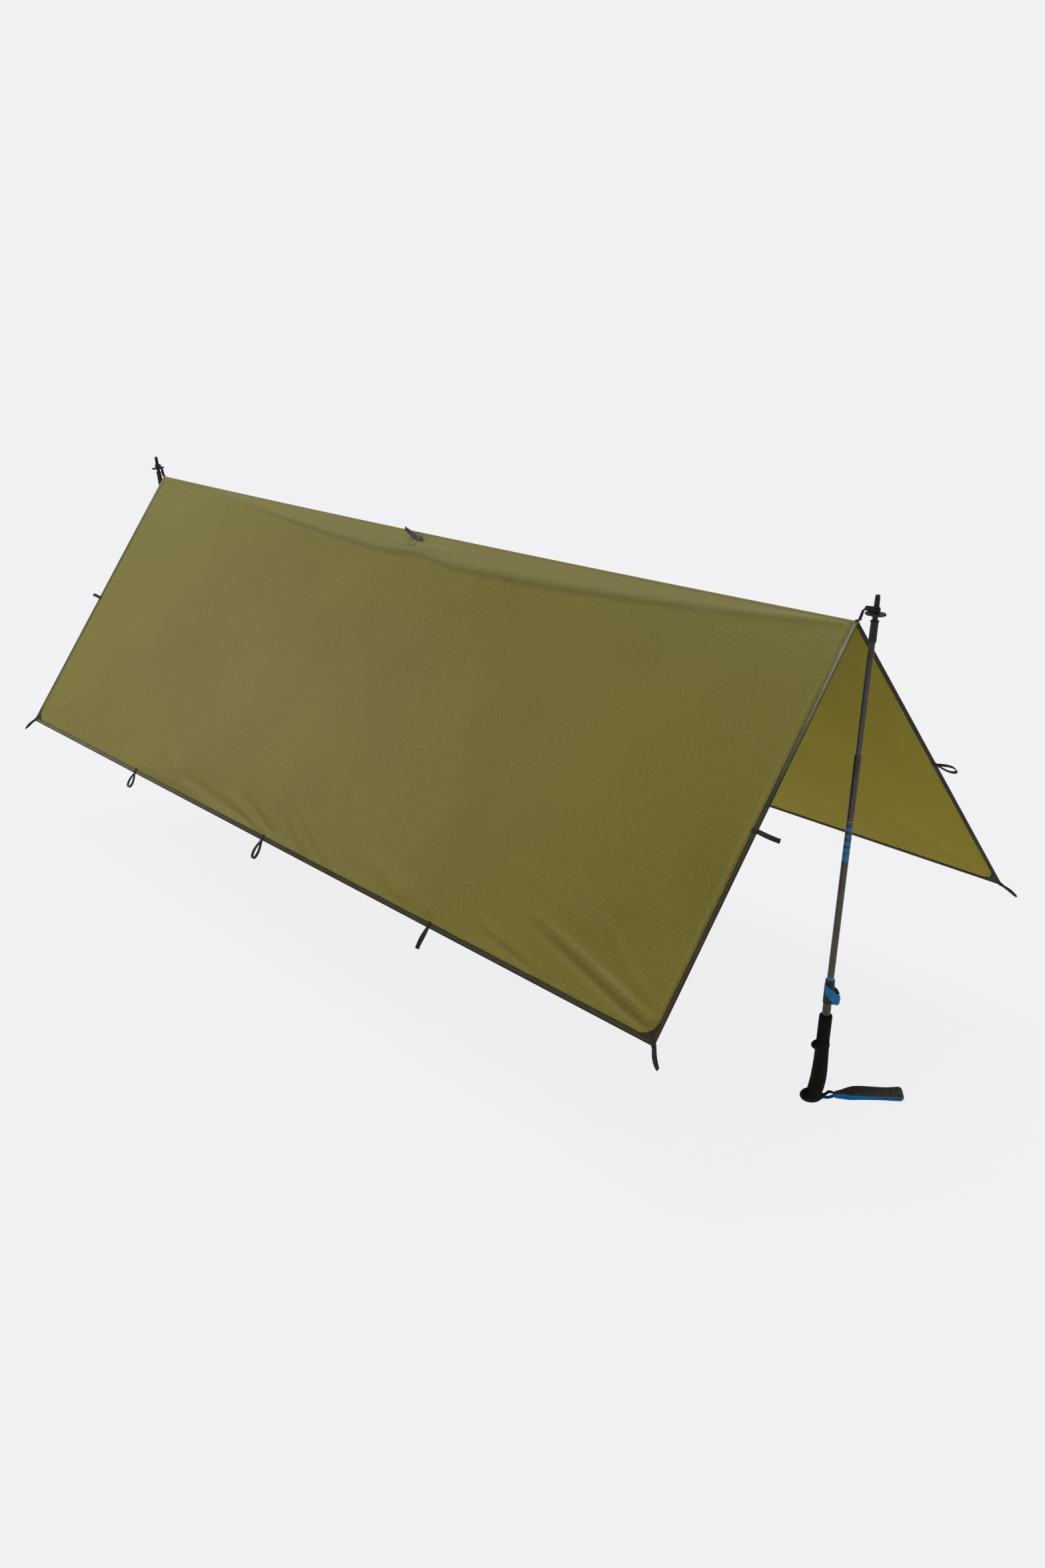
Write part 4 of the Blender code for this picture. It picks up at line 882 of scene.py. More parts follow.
# %% Loops
LOOP_OUT = 0.0018  # from the folded edge out to the line that a loop turns about
LOOP_LENGTH = 0.052
LOOP_SHAPES = {  # opening, twist in degrees, droop, sideways bow, and the length where it looks shorter
    "front_near_corner": (0.16, 28, 0.12, 0.0025, 0.044),
    "front_far_corner": (0.22, 10, 0.15, 0.000),
    "back_near_corner": (0.14, 4, 0.16, 0.0015, 0.040),
    "back_far_corner": (0.60, 20, 0.15, -0.002),
    "front_near_side": (0.22, 8, 0.34, 0.001),
    "front_far_side": (0.50, -15, 0.10, 0.001),
    "back_near_side": (0.80, 6, 0.10, 0.000),
    "back_far_side": (0.40, 10, 0.10, 0.002),
    "front_hem_near": (0.28, -62, 0.10, 0.001),
    "front_hem_middle": (1.05, -12, 0.05, 0.000),
    "front_hem_far": (0.98, -14, 0.08, -0.001, 0.044),
    "back_hem_near": (0.15, 0, 0.10, -0.014, 0.034),
    "back_hem_middle": (0.50, -20, 0.10, 0.002),
    "back_hem_far": (0.90, 10, 0.10, 0.000),
}


def loop_path(opening, twist, droop, bow, length=LOOP_LENGTH, steps=44):
    """Points and facings of a loop in its own axes: out from the edge, off the slope, along the edge."""
    turn = 2 * math.pi * np.arange(steps + 1) / steps
    out = (length - 0.0008) * (1 - np.cos(turn)) / 2 + 0.0004
    share = out / length
    rise = 0.0007 * np.copysign(1, np.sin(turn) + 1e-9)  # the two strips lie on one another at the edge
    swell = opening * 0.0096 * np.sin(turn) * np.abs(np.sin(turn / 2)) ** 1.2
    high = swell + rise * (1 - smooth(share * 1.02 - 0.02) ** 4)
    angle = math.radians(twist) * share**1.3
    side_way = bow * 2.2 * np.sin(math.pi * share * 0.7)
    off = high * np.cos(angle) - side_way * np.sin(angle) - droop * length * share**2 * 0.5
    points = np.stack([out, off, high * np.sin(angle) + side_way], axis=1)
    wide = np.stack([0 * angle, -np.sin(angle), np.cos(angle)], axis=1)  # the webbing's width
    return points, unit(np.cross(wide, np.gradient(points, axis=0)))


def edge_axes(side, outward):
    """World directions out from an edge, off the slope and along the edge, and the two flat ones."""
    out = unit(np.array(outward, float))
    beside = np.array((-out[1], out[0]))
    return np.array([slope_way(side, *out), slope_way(side, 0, 0, 1), slope_way(side, *beside)]), out, beside


def make_loop(name, side, root, outward, shape):
    """root and outward are in the slope's axes: x along the ridge and distance down it."""
    points, facings = loop_path(*shape)
    axes = edge_axes(side, outward)[0]
    return webbing(name, [on_slope(side, *root) + points @ axes], [facings @ axes])


TAB_TOP = TAPE_FACE + 0.0007  # height of the tab's middle over the binding


def make_tab(name, side, root, outward, inner_length, reach_under=0.012):
    """The sewn part of a loop: flat on the outer face, round the edge and back on the inner face."""
    flat = [(-inner_length, 1.0), (-inner_length * 0.6, 1.0 + 0.0001 / TAB_TOP), (-0.006, 1.0), (-0.002, 1.0)]
    flat += [(-0.0006, 0.9), (0.0006, 0.55), (0.0011, 0.0), (0.0006, -0.55), (-0.0006, -0.9)]
    flat = np.array(flat + [(-0.002, -1.0), (-0.006, -1.0), (-reach_under, -1.0)]) * (1.0, TAB_TOP)
    axes, out, beside = edge_axes(side, outward)
    ahead = np.gradient(flat, axis=0)
    facing = unit(np.stack([-ahead[:, 1], ahead[:, 0]], axis=1))
    tab = webbing(name, [on_slope(side, *root) + flat @ axes[:2]], [facing @ axes[:2]], width=0.0098, thickness=0.0011)
    tack = []
    for inward in (inner_length - 0.002, max(inner_length * 0.35, 0.0045)):
        zigzag = [(-inward + 0.0006 * (i % 2), -0.0042 + 0.0084 * i / 14) for i in range(15)]
        tack.append([on_slope(side, *(np.array(root) + o * out + b * beside), TAB_TOP + 0.0006) for o, b in zigzag])
    sewn = stitches(name + "_bartacks", tack, [axes[1], axes[1]], Spacing=0.0011, Length=0.0013, Thread=0.0006)
    return tab, sewn


def loop_places():
    """Name, node, point on the edge's turning line, way out, length of the tab; in the front slope's axes."""
    out = LOOP_OUT / math.sqrt(2)
    for end_name, end in (("near", 1), ("far", -1)):
        yield end_name + "_corner", end_name + "_corner_loop", (end * (HALF + out), SLOPE + out), (end, 1), 0.030
        yield end_name + "_side", end_name + "_side_loop", (end * (HALF + LOOP_OUT), SLOPE / 2), (end, 0), 0.0145
    for end_name, x in (("near", 0.75), ("middle", 0.0), ("far", -0.75)):
        yield "hem_" + end_name, "hem_loop_" + end_name, (x, SLOPE + LOOP_OUT), (0, 1), 0.0150


for side_name, side in SIDES.items():
    for label, node, root, outward, tab in loop_places():
        # The back slope is the front one turned round, so its near end is at its own far side.
        root, outward = ((side * root[0], root[1]), (side * outward[0], outward[1]))
        name = f"{side_name}_{label}"
        loop = make_loop(name + "_webbing", side, root, outward, LOOP_SHAPES[name])
        settle(loop, f"{side_name}_{node}", name)
        edge = np.array(root) - unit(np.array(outward, float)) * LOOP_OUT
        for piece in make_tab(name + "_tab", side, tuple(edge), outward, tab):
            settle(piece, None, side_name + "_slope")
print("14 loops with their tabs")

# %% [markdown]
# ## Middle of the ridge
# Below the seam's middle a small patch of the same cloth is sewn on, and a loop of webbing is tacked
# to it, so that a line can lift the middle. The loop has twisted over onto itself, with its open
# end towards the far side and a short stub folded up at the other.

# %% Ridge patch and its loop
PATCH_HALF, PATCH_TOP, PATCH_FOOT = 0.0155, 0.0115, 0.0465
PATCH_SEAM = 0.003  # its stitches run this far in at the sides, and 2.5 mm in above and below


def make_ridge_patch():
    x, down = np.linspace(-PATCH_HALF, PATCH_HALF, 17), np.linspace(PATCH_TOP, PATCH_FOOT, 19)
    grid_x, grid_down = np.meshgrid(x, down)
    from_edge = np.minimum(PATCH_HALF - np.abs(grid_x), np.minimum(grid_down - PATCH_TOP, PATCH_FOOT - grid_down))
    puffed = 0.0009 + 0.0006 * smooth(from_edge / 0.003) + 0.0002 * np.sin(grid_x * 500) * smooth(from_edge / 0.004)
    mesh = grid_mesh(cloth_point(1, grid_x, grid_down, puffed), x, down)
    # The patch is painted wholly with the cloth's paler sheen colour, for the light reflected where it lies by the
    # ridge.
    paint_sheen(mesh, 1.0)
    face_out(mesh, 1, 40)
    return thickened(finish_mesh("ridge_reinforcement", mesh, [CLOTH_OUTSIDE]), 0.0007)


patch = settle(make_ridge_patch(), "ridge_patch", "front_slope")
side_x, top, foot = PATCH_HALF - PATCH_SEAM, PATCH_TOP + 0.0025, PATCH_FOOT - 0.0025
corners = np.array([(-side_x, top), (side_x, top), (side_x, foot), (-side_x, foot), (-side_x, top)])
edge = np.concatenate([np.linspace(a, b, 12, endpoint=False) for a, b in zip(corners, corners[1:])])
outward = slope_way(1, 0, 0, 1)
patch_rows = stitches(
    "ridge_patch_stitches", [cloth_point(1, *edge.T, 0.00165)], [outward], Spacing=0.0036, Length=0.0026, Thread=0.0006
)
settle(patch_rows, None, "front_slope")

MIDDLE_LOOP = [  # millimetres along the ridge, down the slope, off the cloth, and roll of its flat side in degrees
    (34.0, 13.0, 12.0, 30), (27.5, 16.0, 6.8, 14), (19.0, 19.5, 3.6, 0), (9.0, 19.0, 4.4, 0), (0.0, 16.5, 8.0, -16),
    (-9.0, 13.5, 12.5, -30), (-19.0, 10.0, 18.0, -38), (-28.0, 8.0, 23.5, -38), (-34.5, 6.5, 26.2, -30),
    (-37.5, 6.0, 22.5, -18), (-35.0, 7.0, 17.2, -12), (-28.0, 10.0, 12.2, -12), (-19.0, 13.5, 8.0, -10),
    (-9.0, 17.0, 4.6, -4), (1.0, 19.8, 2.8, 0), (10.0, 21.2, 2.0, 0),
]


def smooth_path(places, steps=6):
    """A Catmull-Rom curve through rows of numbers."""
    rows = np.array(places, float)
    ends = np.vstack([2 * rows[0] - rows[1], rows, 2 * rows[-1] - rows[-2]])
    made = []
    for a, b, c, d in zip(ends, ends[1:], ends[2:], ends[3:]):
        for t in np.arange(steps) / steps:
            twice = 2 * b + (c - a) * t + (2 * a - 5 * b + 4 * c - d) * t**2 + (3 * b - a - 3 * c + d) * t**3
            made.append(0.5 * twice)
    return np.array([*made, rows[-1]])


def make_middle_loop():
    x, down, off, rolled = smooth_path(MIDDLE_LOOP).T * [[0.001], [0.001], [0.001], [math.pi / 180]]
    points = cloth_point(1, x, down, off)
    # The webbing's width runs down the slope, rolled about the way it goes.
    wide = np.array([slope_way(1, 0, math.cos(a), math.sin(a)) for a in rolled])
    facing = unit(np.cross(np.gradient(points, axis=0), wide))
    return webbing("ridge_middle_webbing", [points], [facing], LIT_WEBBING)


loop = settle(make_middle_loop(), "ridge_middle_loop", "front_slope")
print("ridge patch, its stitches and loop:", [triangles(o) for o in (patch, patch_rows, loop)], "triangles")

# %% [markdown]
# ## Poles
# Each trekking pole stands on its grip, with its tip through a loop of the ridge. All its pieces are
# made in the near pole's own axes, z up the pole and x towards the wrist strap, and then put in place.
# The far pole is the near one turned half a turn about the middle of the tarp.

# %% Pole axes
FOOT, TOP = Vector((1.489, -0.070, 0.0)), Vector((1.545, 0.0, 1.133))
STRAP_HEADING = 51.5  # degrees
pole_up = (TOP - FOOT).normalized()
strap_way = turn_about("Z", STRAP_HEADING) @ Vector((1, 0, 0))
pole_side = pole_up.cross(strap_way).normalized()
POLE_AXES = Matrix.Translation(FOOT) @ Matrix((pole_side.cross(pole_up), pole_side, pole_up)).transposed().to_4x4()
ENDS = {"near": Matrix.Identity(4), "far": turn_about("Z", 180)}
print("pole", round((TOP - FOOT).length, 4), "m")

# %% [markdown]
# ## Pole materials
# The shafts are drawn aluminium tube, anodised dark grey brown, with fine drawing lines along them and
# pad-printed blue marks. Sleeve and grip are EVA foam and soft rubber, which swallow light. The clamp,
# basket and tip are moulded glass-filled nylon, slightly grainy, and the lever is blue acetal.

# %% Pole materials
def metal_look(name, base, pale, roughness):
    """Anodised drawn tube: a metal whose roughness changes in fine lines along it."""
    look, tree = new_look(name, Metallic=1.0)
    uv = add_node(tree, "ShaderNodeUVMap", uv_map="UVMap").outputs[0]
    drawn = add_node(tree, "ShaderNodeMapping", {"Vector": uv, "Scale": (3.0, 900.0, 1.0)}).outputs[0]
    lines = add_node(tree, "ShaderNodeTexNoise", {"Vector": drawn, "Scale": 1.0, "Detail": 2.0}).outputs["Fac"]
    scuffs = add_node(tree, "ShaderNodeTexNoise", {"Vector": uv, "Scale": 38.0, "Detail": 4.0}).outputs["Fac"]
    rough = {"Value": lines, "To Min": roughness - 0.08, "To Max": roughness + 0.10}
    rough = add_node(tree, "ShaderNodeMapRange", rough).outputs[0]
    colour = {SHARE: scuffs, FIRST: srgb(base), SECOND: srgb(pale)}
    colour = add_node(tree, "ShaderNodeMix", colour, data_type="RGBA").outputs[MIXED]
    grooves = add_node(tree, "ShaderNodeBump", {"Height": lines, "Strength": 0.08, "Distance": 0.0001}).outputs[0]
    return set_look(look, Base_Color=colour, Roughness=rough, Normal=grooves)


def grainy_look(name, base, pale, grain, roughness, depth=0.0002, strength=0.4, gloss=0.5, metallic=0.0):
    """Moulded or foamed material: a grain of a given size in metres, in Object coordinates."""
    look, tree = new_look(name, Specular_IOR_Level=gloss, Metallic=metallic)
    spot = add_node(tree, "ShaderNodeTexCoord").outputs["Object"]
    fine, wide = (
        add_node(tree, "ShaderNodeTexNoise", {"Vector": spot, "Scale": scale, "Detail": 2.0}).outputs["Fac"]
        for scale in (1 / grain, 60.0)
    )
    rough = {"Value": wide, "To Min": roughness - 0.07, "To Max": roughness + 0.07}
    rough = add_node(tree, "ShaderNodeMapRange", rough).outputs[0]
    varied = add_node(tree, "ShaderNodeMath", {0: fine, 1: wide}, operation="MULTIPLY").outputs[0]
    colour = {SHARE: varied, FIRST: srgb(base), SECOND: srgb(pale)}
    colour = add_node(tree, "ShaderNodeMix", colour, data_type="RGBA").outputs[MIXED]
    grains = add_node(tree, "ShaderNodeBump", {"Height": fine, "Strength": strength, "Distance": depth}).outputs[0]
    return set_look(look, Base_Color=colour, Roughness=rough, Normal=grains)


# Drawn tube, anodised: a dull metal with fine lines along it and small pale scuffs.
ALUMINIUM = metal_look("anodised_drawn_aluminium", "#3d3933", "#565149", 0.36)
# Ink printed from a pad: a thin even coat, flatter than the metal under it.
PRINTED_BLUE = grainy_look("pad_printed_blue", "#006298", "#0082c2", 0.0008, 0.42, 0.00005, gloss=0.25)
PRINTED_PALE = grainy_look("pad_printed_grey", "#8f9a9c", "#b4bec0", 0.0008, 0.45, 0.00005)
# Glass-filled nylon, injection moulded: nearly black and satin, with a fine grain.
MOULDED_BLACK = grainy_look("moulded_filled_nylon", "#0d0c0b", "#1d1b19", 0.0007, 0.50, 0.0001, 0.25, gloss=0.3)
# Acetal, injection moulded: smooth, with a broad soft shine.
BLUE_ACETAL = grainy_look("moulded_blue_acetal", "#005a86", "#007cb4", 0.0009, 0.30, 0.00008, 0.2, gloss=0.18)
# Closed-cell foam, ground to shape: it swallows light, and its cut cells show as a 1 mm grain.
EVA_FOAM = grainy_look("eva_foam", "#0a0805", "#1b170f", 0.0010, 0.88, 0.00035, 0.6, gloss=0.12)
# Thermoplastic rubber, moulded over the grip's core: matt and darker than the foam.
SOFT_RUBBER = grainy_look("soft_rubber_grip", "#080704", "#15120c", 0.0014, 0.78, 0.00025, 0.5, gloss=0.12)
# Steel, turned bright, and blackened by an oxide bath on the strap's pin.
STEEL = grainy_look("turned_steel", "#8a8986", "#a9a8a4", 0.0006, 0.30, 0.00005, 0.2, metallic=1.0)
BLACK_STEEL = grainy_look("black_oxide_steel", "#1a1918", "#2d2b29", 0.0006, 0.45, 0.00005, 0.2, metallic=1.0)
# Knitted polyester, brushed to a short nap: matt, with the colour softly uneven.
LINING_BLUE = grainy_look("brushed_blue_lining", "#025e98", "#0884cc", 0.0010, 0.85, 0.0003, 0.5, gloss=0.15)
print("pole materials from", ALUMINIUM.name, "to", LINING_BLUE.name)

# %% [markdown]
# ## Turned pieces
# Tubes, ferrule, foam sleeve and tip are all turned: a profile of radius and height, whose sharp
# corners are eased by a small arc, goes once round the pole in 64 steps. A tube's profile comes back
# down its bore. The blue marks are rows of the same tube with their own material.

# %% Turning
def around(count):
    """Even angles once round."""
    return [2 * math.pi * i / count for i in range(count)]


def eased(profile, radius=0.0006, closed=False):
    """Replaces each corner of a profile by four points of a small arc."""
    points = [np.array(p, float) for p in profile]
    made = []
    for i, here in enumerate(points):
        if not closed and i in (0, len(points) - 1):
            made.append(here)
            continue
        before, after = points[i - 1] - here, points[(i + 1) % len(points)] - here
        a, b = (unit(way) * min(radius, 0.45 * np.linalg.norm(way)) for way in (before, after))
        made += [here + a * (1 - t) ** 2 + b * t**2 for t in (0.0, 0.35, 0.65, 1.0)]
    return made


def turned(name, profile, looks, axes, closed=False, slots=None, steps=64):
    """A piece turned about the pole. slots gives the material of each length of the profile."""
    rows = list(profile) + ([profile[0]] if closed else [])
    points = [[(r * math.cos(a), r * math.sin(a), z) for a in around(steps)] for r, z in rows]
    along = np.cumsum([0.0] + [math.dist(a, b) for a, b in zip(rows, rows[1:])])
    across = 2 * math.pi * max(r for r, _ in rows) * np.arange(steps + 1) / steps
    mesh = grid_mesh(points, across, along, closed=True, caps=not closed, slots=slots)
    mend(mesh, 1e-6)
    mesh.transform(axes)
    return finish_mesh(name, mesh, looks)


UPPER, MIDDLE, LOWER = 0.0091, 0.0074, 0.0063  # tube radii
MARKS = [  # on the middle tube: start, end, and material
    (0.2975, 0.3047, 1), (0.5723, 0.5871, 1), (0.5917, 0.6013, 1), (0.6076, 0.6162, 1),
    (0.6236, 0.6310, 1), (0.6401, 0.6469, 1), (0.6596, 0.6604, 2),
]
TUBES = (  # name, radius, bore, both ends, marks
    ("upper", UPPER, 0.0077, 0.030, 0.287, ()), ("middle", MIDDLE, 0.0066, 0.215, 0.8035, MARKS),
    ("lower", LOWER, 0.0054, 0.7185, 1.070, ()),
)


def tube_rows(outer, bore, low, high, marks=()):
    """Profile of a tube and the material of each of its lengths."""
    cuts = sorted({low + 0.0008, high - 0.0008, *(m for mark in marks for m in mark[:2])})
    profile = [(outer - 0.0004, low), *((outer, z) for z in cuts), (outer - 0.0004, high), (bore, high), (bore, low)]
    slots = []
    for (r, z), (_, after) in zip(profile, profile[1:] + profile[:1]):
        inside = [m[2] for m in marks if m[0] - 1e-6 <= z and after <= m[1] + 1e-6 and r == outer and after > z]
        slots.append(inside[0] if inside else 0)
    return profile, slots


FERRULE = [
    (0.0075, 1.0400), (0.0081, 1.0420), (0.0083, 1.0460), (0.0080, 1.0500), (0.0077, 1.0790), (0.0077, 1.0803),
    (0.0086, 1.0809), (0.0091, 1.0825), (0.0086, 1.0842), (0.0062, 1.0848), (0.0056, 1.0870), (0.0054, 1.1031),
]
TIP = [
    (0.0049, 1.1034), (0.0056, 1.1044), (0.0058, 1.1070), (0.0057, 1.1120), (0.0053, 1.1250),
    (0.0049, 1.1330), (0.0044, 1.1352), (0.0030, 1.1363), (0.0012, 1.1365),
]
FOAM = [
    (0.0096, 0.1503), (0.0140, 0.1503), (0.0143, 0.1512), (0.0144, 0.1800), (0.0143, 0.2080),
    (0.0139, 0.2106), (0.0128, 0.2122), (0.0110, 0.2126), (0.0096, 0.2120),
]
WIPER = [(0.0075, 0.2969), (0.0088, 0.2969), (0.0090, 0.2975), (0.0084, 0.2982), (0.0075, 0.2982)]


def make_turned_pieces(end, axes):
    pole = end + "_pole_"
    for label, outer, bore, low, high, marks in TUBES:
        profile, slots = tube_rows(outer, bore, low, high, marks)
        looks = [ALUMINIUM, PRINTED_BLUE, PRINTED_PALE] if marks else [ALUMINIUM]
        tube = turned(f"{end}_{label}_tube", profile, looks, axes, closed=True, slots=slots)
        settle(tube, f"{pole}{label}_shaft", pole + label)
    ferrule = turned(end + "_tip_ferrule", eased(FERRULE, 0.0004), [MOULDED_BLACK], axes)
    settle(ferrule, pole + "ferrule", pole + "lower")
    tip = turned(end + "_tip_cap", eased(TIP, 0.0005), [MOULDED_BLACK], axes)
    settle(tip, pole + "tip", pole + "lower")
    foam = turned(end + "_foam_grip_sleeve", eased(FOAM, closed=True), [EVA_FOAM], axes, closed=True)
    settle(foam, pole + "foam_sleeve", pole + "upper")
    ring = turned(end + "_clamp_wiper", WIPER, [PRINTED_PALE], axes, closed=True)
    settle(ring, None, pole + "upper")


for end, turn in ENDS.items():
    make_turned_pieces(end, turn @ POLE_AXES)
print("turned pieces of both poles")

# %% [markdown]
# ## Moulded pieces
# Grip, clamp, lever and basket are moulded, so nothing on them is razor sharp. A remesh turns a rough
# or hard-edged shape into small even squares and relaxes them, which rounds every edge by about a
# voxel, as a mould does. Grip and basket start as a merged copy of their exact solid.

# %% Moulded pieces
def remeshed(name, bm, voxel, passes, look, axes):
    """Closed shapes made one by a fine remesh, and relaxed."""
    made = finish_mesh(name, mesh_of(bm, name), [look])
    even = made.modifiers.new("even", "REMESH")
    even.mode = "VOXEL"
    even.voxel_size = voxel
    relax = made.modifiers.new("relax", "SMOOTH")
    relax.factor = 0.5
    relax.iterations = passes
    mesh = applied(made).data
    mesh.transform(axes)
    mesh.materials.clear()
    mesh.materials.append(look)
    mesh.shade_smooth()
    return made


def moulded(name, node, voxel, passes, look):
    """A softened copy of a solid of the frame."""
    bm = bmesh.new()
    bm.from_mesh(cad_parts[node].data)
    bmesh.ops.remove_doubles(bm, verts=bm.verts, dist=1e-5)
    return remeshed(name, bm, voxel, passes, look, Matrix.Identity(4))


for end in ENDS:
    pole = end + "_pole_"
    grip = moulded(end + "_soft_grip", pole + "grip", 0.0010, 6, SOFT_RUBBER)
    settle(grip, pole + "grip", pole + "upper")
    basket = moulded(end + "_tip_basket", pole + "basket", 0.0005, 4, MOULDED_BLACK)
    settle(basket, pole + "basket", pole + "lower")
    print(end, "basket", triangles(basket), "triangles")

# %% [markdown]
# ## Cam lock
# A split collar squeezes the tube when its cam lever is pressed home. The collar has two ears that
# hold the lever's pin, the upper one a rounded gusset. The lever is a leaf of plastic that starts as a
# lobe round the pin and climbs round the collar. Rough closed shapes are fused by a fine remesh.

# %% Cam lock
PIN_OUT = 0.0178  # from the pole's axis out to the lever's pin
COLLAR = [
    (0.0092, 0.2402), (0.0102, 0.2402), (0.0108, 0.2425), (0.0108, 0.2865), (0.0102, 0.2876),
    (0.0102, 0.2968), (0.0078, 0.2968), (0.0078, 0.2876), (0.0092, 0.2872),
]
LOW_EAR = [(0.0098, 0.2372), (0.0205, 0.2392), (0.0226, 0.2412), (0.0226, 0.2448), (0.0098, 0.2448)]
HIGH_EAR = [
    (0.0098, 0.2622), (0.0226, 0.2622), (0.0236, 0.2634), (0.0228, 0.2660), (0.0205, 0.2700),
    (0.0170, 0.2745), (0.0130, 0.2778), (0.0098, 0.2795),
]
EAR_HALF = 0.0034
HUB = [(0.0020, 0.2456), (0.0044, 0.2456), (0.0044, 0.2615), (0.0020, 0.2615)]
WEB = [(PIN_OUT - 0.0021, 0.2462), (PIN_OUT + 0.0009, 0.2462), (PIN_OUT + 0.0009, 0.2610), (PIN_OUT - 0.0021, 0.2610)]
LEAF = [  # places in mm: out from the axis, towards the strap's left, lower edge, upper edge
    (25.10, 1.20, 246.0, 255.5), (24.20, -3.70, 240.5, 260.6), (20.40, -6.95, 238.6, 263.4),
    (16.50, -8.20, 238.8, 266.4), (12.80, -8.70, 241.0, 269.4), (9.90, -9.70, 244.0, 272.2),
    (6.60, -11.80, 247.6, 275.6), (1.15, -13.45, 253.2, 280.4), (-4.60, -12.60, 259.4, 284.6),
    (-8.60, -10.30, 265.0, 287.6), (-10.40, -8.60, 270.0, 288.4),
]
LEAF_SIDES = 20
BUTTON = [(0.0017, 0.0), (0.0017, 0.0008), (0.0012, 0.0014), (0.0003, 0.0016)]
BUTTON_HEADING, BUTTON_UP = -42, 0.2292  # degrees about the pole, and metres up it


def bulge(value, power):
    """A power that keeps the sign: below 1 it squares a round section."""
    return math.copysign(abs(value) ** power, value)


def skin(bm, loops, round_trip=False):
    """Faces between loops of points. The last joins the first, or else both ends are capped."""
    rows = [[bm.verts.new(point) for point in loop] for loop in loops]
    for one, two in zip(rows, rows[1:] + rows[:1] if round_trip else rows[1:]):
        for j in range(len(one)):
            k = (j + 1) % len(one)
            bm.faces.new((one[j], two[j], two[k], one[k]))
    if not round_trip:
        bm.faces.new(rows[0])
        bm.faces.new(rows[-1][::-1])


def plate(bm, outline, half_width, middle=0.0):
    """A flat piece from an outline in the pole's x and z."""
    skin(bm, [[(x, y, z) for x, z in outline] for y in (middle - half_width, middle + half_width)])


def ring_into(bm, profile, out=0.0, steps=48):
    """A turned ring from a closed profile, some way out from the pole's axis."""
    skin(bm, [[(out + r * math.cos(a), r * math.sin(a), z) for r, z in profile] for a in around(steps)], True)


def leaf_into(bm):
    """The lever's leaf, 2.6 mm thick with a full edge."""
    rows = smooth_path(np.array(LEAF) / 1000, 5)
    ahead = np.gradient(rows[:, :2], axis=0)
    out = unit(np.stack([ahead[:, 1], -ahead[:, 0]], axis=1))
    loops = []
    for i, (x, y, low, high) in enumerate(rows):
        middle, from_end = (low + high) / 2, min(i, len(rows) - 1 - i) / 3
        reach = (high - low) / 2 * min(1.0, 0.55 + 0.45 * from_end)
        loop = []
        for a in around(LEAF_SIDES):
            off = 0.0013 * bulge(math.cos(a), 0.8)
            loop.append((x + out[i][0] * off, y + out[i][1] * off, middle + reach * bulge(math.sin(a), 0.6)))
        loops.append(loop)
    skin(bm, loops)


def build_collar(bm):
    ring_into(bm, COLLAR)
    plate(bm, LOW_EAR, EAR_HALF)
    plate(bm, HIGH_EAR, EAR_HALF)


def build_lever(bm):
    leaf_into(bm)
    ring_into(bm, HUB, PIN_OUT, 32)
    plate(bm, WEB, 0.0024, -0.0052)


def fused(name, build, passes, look, axes):
    """Rough closed shapes made one, in the pole's axes."""
    bm = bmesh.new()
    build(bm)
    bmesh.ops.recalc_face_normals(bm, faces=bm.faces)
    return remeshed(name, bm, 0.0005, passes, look, axes)


for end, turn in ENDS.items():
    pole = end + "_pole_"
    collar = fused(end + "_clamp_collar", build_collar, 2, MOULDED_BLACK, turn @ POLE_AXES)
    settle(collar, pole + "clamp", pole + "upper")
    lever = fused(end + "_cam_lever", build_lever, 4, BLUE_ACETAL, turn @ POLE_AXES)
    settle(lever, pole + "lever", pole + "cam")
    out = turn_about("Z", BUTTON_HEADING) @ Vector((1, 0, 0))
    spot = turn @ POLE_AXES @ Matrix.Translation(out * (UPPER - 0.0006) + Vector((0, 0, BUTTON_UP)))
    spot = spot @ out.to_track_quat("Z", "Y").to_matrix().to_4x4()
    button = turned(end + "_spring_button", BUTTON, [MOULDED_BLACK], spot, steps=24)
    settle(button, None, pole + "upper")
    print(end, [triangles(o) for o in (collar, lever, button)], "triangles")

# %% [markdown]
# Pins and the twist lock inside the shafts keep their exact solids, because they are plain turned
# parts that hardly show. They only get their real finish: turned steel, and nylon for the expander.

# %% Kept solids
KEPT = {
    "lever_pin": STEEL, "strap_pin": BLACK_STEEL, "lock_spindle": STEEL, "lock_cone": STEEL,
    "lock_sleeve": MOULDED_BLACK,
}
for end in ENDS:
    for node, look in KEPT.items():
        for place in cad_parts[f"{end}_pole_{node}"].material_slots:
            place.material = look
print(len(KEPT) * len(ENDS), "solids kept, each with its own finish")

# %% [markdown]
# ## Wrist strap
# The strap is a padded band, spacer mesh outside and brushed blue lining inside, that lies on the
# ground. At the grip its tape stands up as a ring with its blue face inwards. Both are sections
# swept round a closed path; the pad's section is full and rounded, and its width and place wander.

# %% Wrist strap
STRAP_FOOT = FOOT + strap_way * 0.010 + Vector((0, 0, 0.0102))
STRAP_AXES = Matrix.Translation(STRAP_FOOT) @ turn_about("Z", STRAP_HEADING)
PAD_LENGTH = (0.0285, 0.1795)
PAD_THICKNESS = 0.0092
PAD_ROLL = math.radians(22)
RING_MIDDLE, RING_REACH = 0.0138, 0.0168  # place along the strap, and half its length
# How high on the pad the lining begins: shares of the pad's length, and metres off its middle.
LINING_BORDER = (0.0, 0.15, 0.5, 0.8, 1.0), (0.0020, 0.0042, -0.0002, -0.0036, -0.0060)


